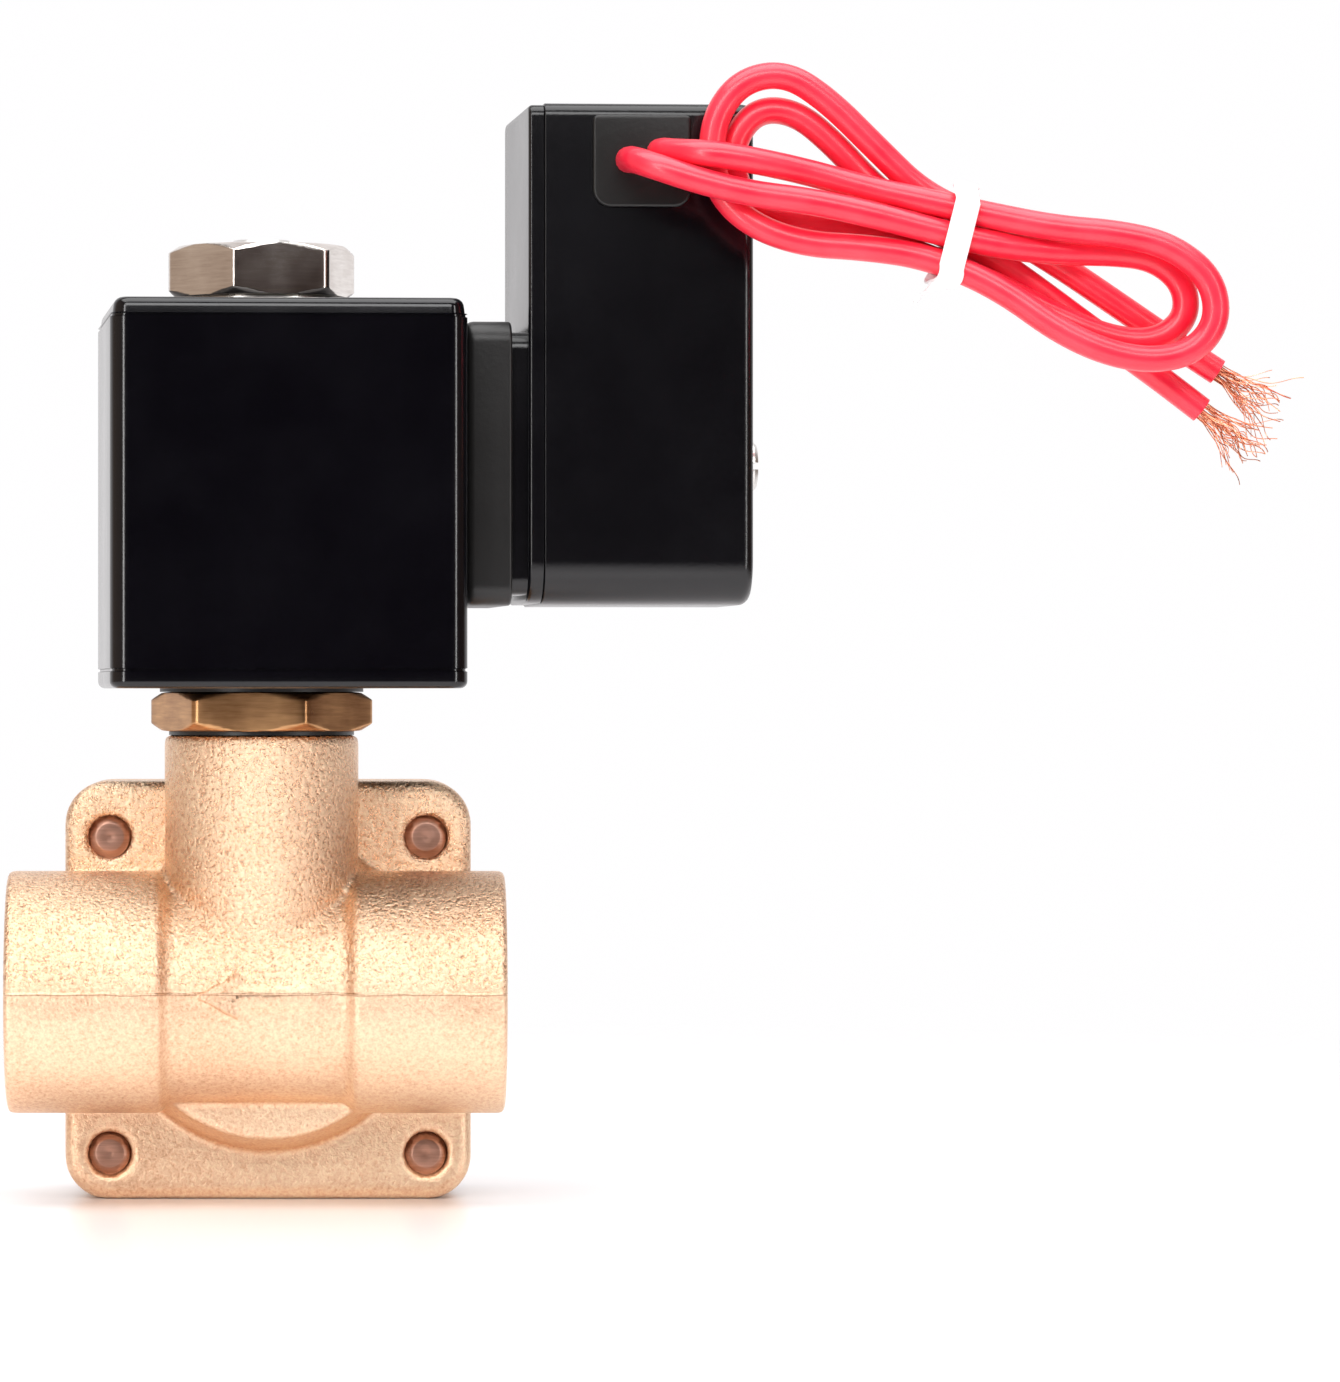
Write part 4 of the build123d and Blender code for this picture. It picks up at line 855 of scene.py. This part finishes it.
# %% Springs
def coil_spring(name, low, high, middle, radius, wire, turns, axis):
    """Each is coiled wire with a dead turn at either end."""
    t = np.linspace(0, 1, 40 * turns)
    turn = 2 * math.pi * turns * t
    live = np.clip((turns * t - 0.9) / (turns - 1.8), 0, 1)
    dead = wire * 2.05 * (np.clip(turns * t / 0.9, 0, 1) + np.clip((turns * t - turns + 0.9) / 0.9, 0, 1))
    reach = high - low - 2 * wire - 4.1 * wire
    advance = (low + wire + dead + reach * live)[:, None]
    ring = np.linspace(0, 2 * math.pi, 10, endpoint=False)[None]
    out = radius + wire * np.cos(ring)
    across = {"z": (0, 1, 2), "y": (2, 0, 1)}[axis]
    points = np.zeros((len(t), 10, 3))
    points[..., across[0]] = middle[across[0]] + out * np.cos(turn)[:, None]
    points[..., across[1]] = middle[across[1]] + out * np.sin(turn)[:, None]
    points[..., across[2]] = advance + wire * np.sin(ring)
    return surface(name, points, "root", STAINLESS, caps=("first", "last"))


def spring_for(node, axis, wire, turns):
    """The spring fills its CAD node's box, so its size is never typed twice."""
    low, high = (np.array(corner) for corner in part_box(node))
    step = {"z": 2, "y": 1}[axis]
    radius = (high[0] - low[0]) / 2 - wire
    spring = coil_spring(node + "_coils", low[step], high[step], (low + high) / 2, radius, wire, turns, axis)
    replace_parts(spring, node)
    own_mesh(spring)


spring_for("plunger_spring", "z", 0.3 * MM, 8)
spring_for("diaphragm_spring", "y", 0.35 * MM, 5)
print("two springs")

# %% [markdown]
# The diaphragm is a rubber sheet clamped at its rim, whose middle moves with the main disc. The ring between
# them is made in twelve flat sectors, which ride on no body.

# %% Diaphragm
sheet_low, sheet_high = (np.array(corner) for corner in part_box("diaphragm"))
HUB_R, CLAMP_R, SECTORS = 12.4 * MM, 15.0 * MM, 12


def rubber_ring(name, body, inner_r, outer_r, turn, closed):
    """Section: a flat sheet with one shallow groove on each face at 13.7 mm; it is carried round the turn."""
    middle = (sheet_low + sheet_high) / 2
    radius = np.linspace(inner_r, outer_r, 14)
    groove_in = 0.12 * MM * np.exp(-(((radius - 13.7 * MM) / (0.6 * MM)) ** 2))
    reach = np.concatenate([radius, radius[::-1]])[None]
    place = np.concatenate([sheet_low[1] + groove_in, (sheet_high[1] - groove_in)[::-1]])[None]
    across, up = np.cos(turn)[:, None], np.sin(turn)[:, None]
    points = np.stack([middle[0] + reach * across, place + 0 * across, middle[2] + reach * up], axis=-1)
    ring = surface(name, points, body, RUBBER, along=closed, caps=() if closed else ("first", "last"))
    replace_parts(ring, "diaphragm")
    return middle


whole_turn = np.linspace(0, 2 * math.pi, 96, endpoint=False)
rubber_ring("diaphragm_hub", "main_disc", 2.4 * MM, HUB_R, whole_turn, True)
sheet_middle = rubber_ring("diaphragm_clamped_rim", "root", CLAMP_R,
                           sheet_high[0] - (sheet_low[0] + sheet_high[0]) / 2,
                           whole_turn, True)
for sector in range(SECTORS):
    start = 2 * math.pi * sector / SECTORS
    name = f"diaphragm_roll_{sector}"
    rubber_ring(name, None, HUB_R, CLAMP_R, start + np.linspace(0, 2 * math.pi / SECTORS, 9), False)
    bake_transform(bpy.data.objects[name])
print("diaphragm in", SECTORS, "sectors")

# %% [markdown]
# ## Floor, light and camera
# The valve stands on a pale floor that fades into an even white surround. Two tall soft lights at the sides
# draw long highlights down the plastics and the nut, and a wide one overhead lights the casting.

# %% Floor
floor_mesh = bpy.data.meshes.new("floor")
ring = np.linspace(0, 2 * math.pi, 96, endpoint=False)
floor_points = 3.0 * np.stack([np.cos(ring), np.sin(ring), np.full(96, cad_low[2] / 3.0)], axis=1)
floor_mesh.from_pydata(floor_points.tolist(), [], [list(range(96))])
floor = bpy.data.objects.new("floor", floor_mesh)
bpy.context.scene.collection.objects.link(floor)
paper = Finish("floor_paper", Roughness=0.24)
paper.set("Base Color", paper.ramp(paper.noise(8, 2.0), (0.2, (0.90, 0.885, 0.90)), (0.8, (0.94, 0.925,
                                                                                           0.94))))
far = paper.node("ShaderNodeVectorMath", {"operation": "LENGTH"}, {0: paper.place}, out="Value")
paper.set("Alpha", 1 - far.step(0.16, 0.42))
floor_mesh.materials.append(paper.material)

# %% Lights
def soft_light(name, place, target, size, power, colour=(1, 1, 1)):
    light = bpy.data.lights.new(name, "AREA")
    light.shape, light.size, light.size_y = "RECTANGLE", *size
    light.energy, light.color = power, colour
    lamp = bpy.data.objects.new(name, light)
    lamp.location = place
    lamp.rotation_euler = (Vector(target) - Vector(place)).to_track_quat("-Z", "Y").to_euler()
    bpy.context.scene.collection.objects.link(lamp)


LIGHT_AIM = (0.03, 0.0, 0.065)
soft_light("left_strip", (-0.42, -0.66, 0.12), LIGHT_AIM, (0.10, 0.7), 2.2)
soft_light("right_strip", (0.60, -0.52, 0.14), LIGHT_AIM, (0.08, 0.7), 1.6)
soft_light("overhead", (0.05, -0.12, 0.80), LIGHT_AIM, (1.1, 0.7), 9.5)
soft_light("high_front", (0.0, -0.70, 0.50), LIGHT_AIM, (0.8, 0.22), 3.4)

# %% [markdown]
# The surround is white behind the valve, dark in front, and warm at the sides, like a small studio with a
# white sheet hung behind the table. Black plastic stays black because it mirrors the dark side.

# %% Surround
world = bpy.data.worlds.new("surround")
world.use_nodes = True
bpy.context.scene.world = world
sky = Board(world.node_tree)
direction = sky.node("ShaderNodeTexCoord", {}, {}, out="Generated")
sideways_part = sky.node("ShaderNodeSeparateXYZ", {}, {0: direction}, out="X")
behind_part = sky.node("ShaderNodeSeparateXYZ", {}, {0: direction}, out="Y")
warm = sky.ramp(sideways_part * 0.5 + 0.5, (0.05, (0.50, 0.39, 0.31)), (0.32, (0.035, 0.024, 0.020)),
                (0.75, (0.035, 0.022, 0.018)), (0.97, (0.16, 0.10, 0.07)))
mixed = sky.node("ShaderNodeMix", {"data_type": "RGBA"},
                 {0: behind_part.step(0.25, 0.62), 6: warm, 7: (1.0, 0.98, 0.99, 1.0)}, out=2)
seen = sky.node("ShaderNodeLightPath", {}, {}, out="Is Camera Ray")
shown = sky.node("ShaderNodeMix", {"data_type": "RGBA"}, {0: seen, 6: mixed, 7: (1.0, 0.995, 1.0, 1.0)},
                 out=2)
world.node_tree.links.new(shown.socket, world.node_tree.nodes["Background"].inputs["Color"])
# A plain view transform keeps the silicone's red, the black plastics and the white surround as they are.
bpy.context.scene.view_settings.view_transform = "Standard"

# %% Camera
camera_data = bpy.data.cameras.new("camera")
camera_data.lens = 175.0
camera_data.shift_x = 0.26
camera_data.clip_start, camera_data.clip_end = 0.01, 20
camera = bpy.data.objects.new("camera", camera_data)
camera.location = (5.6 * MM, -775.5 * MM, 58.3 * MM)
camera.rotation_euler = (math.pi / 2, 0, 0)
bpy.context.scene.collection.objects.link(camera)
bpy.context.scene.camera = camera
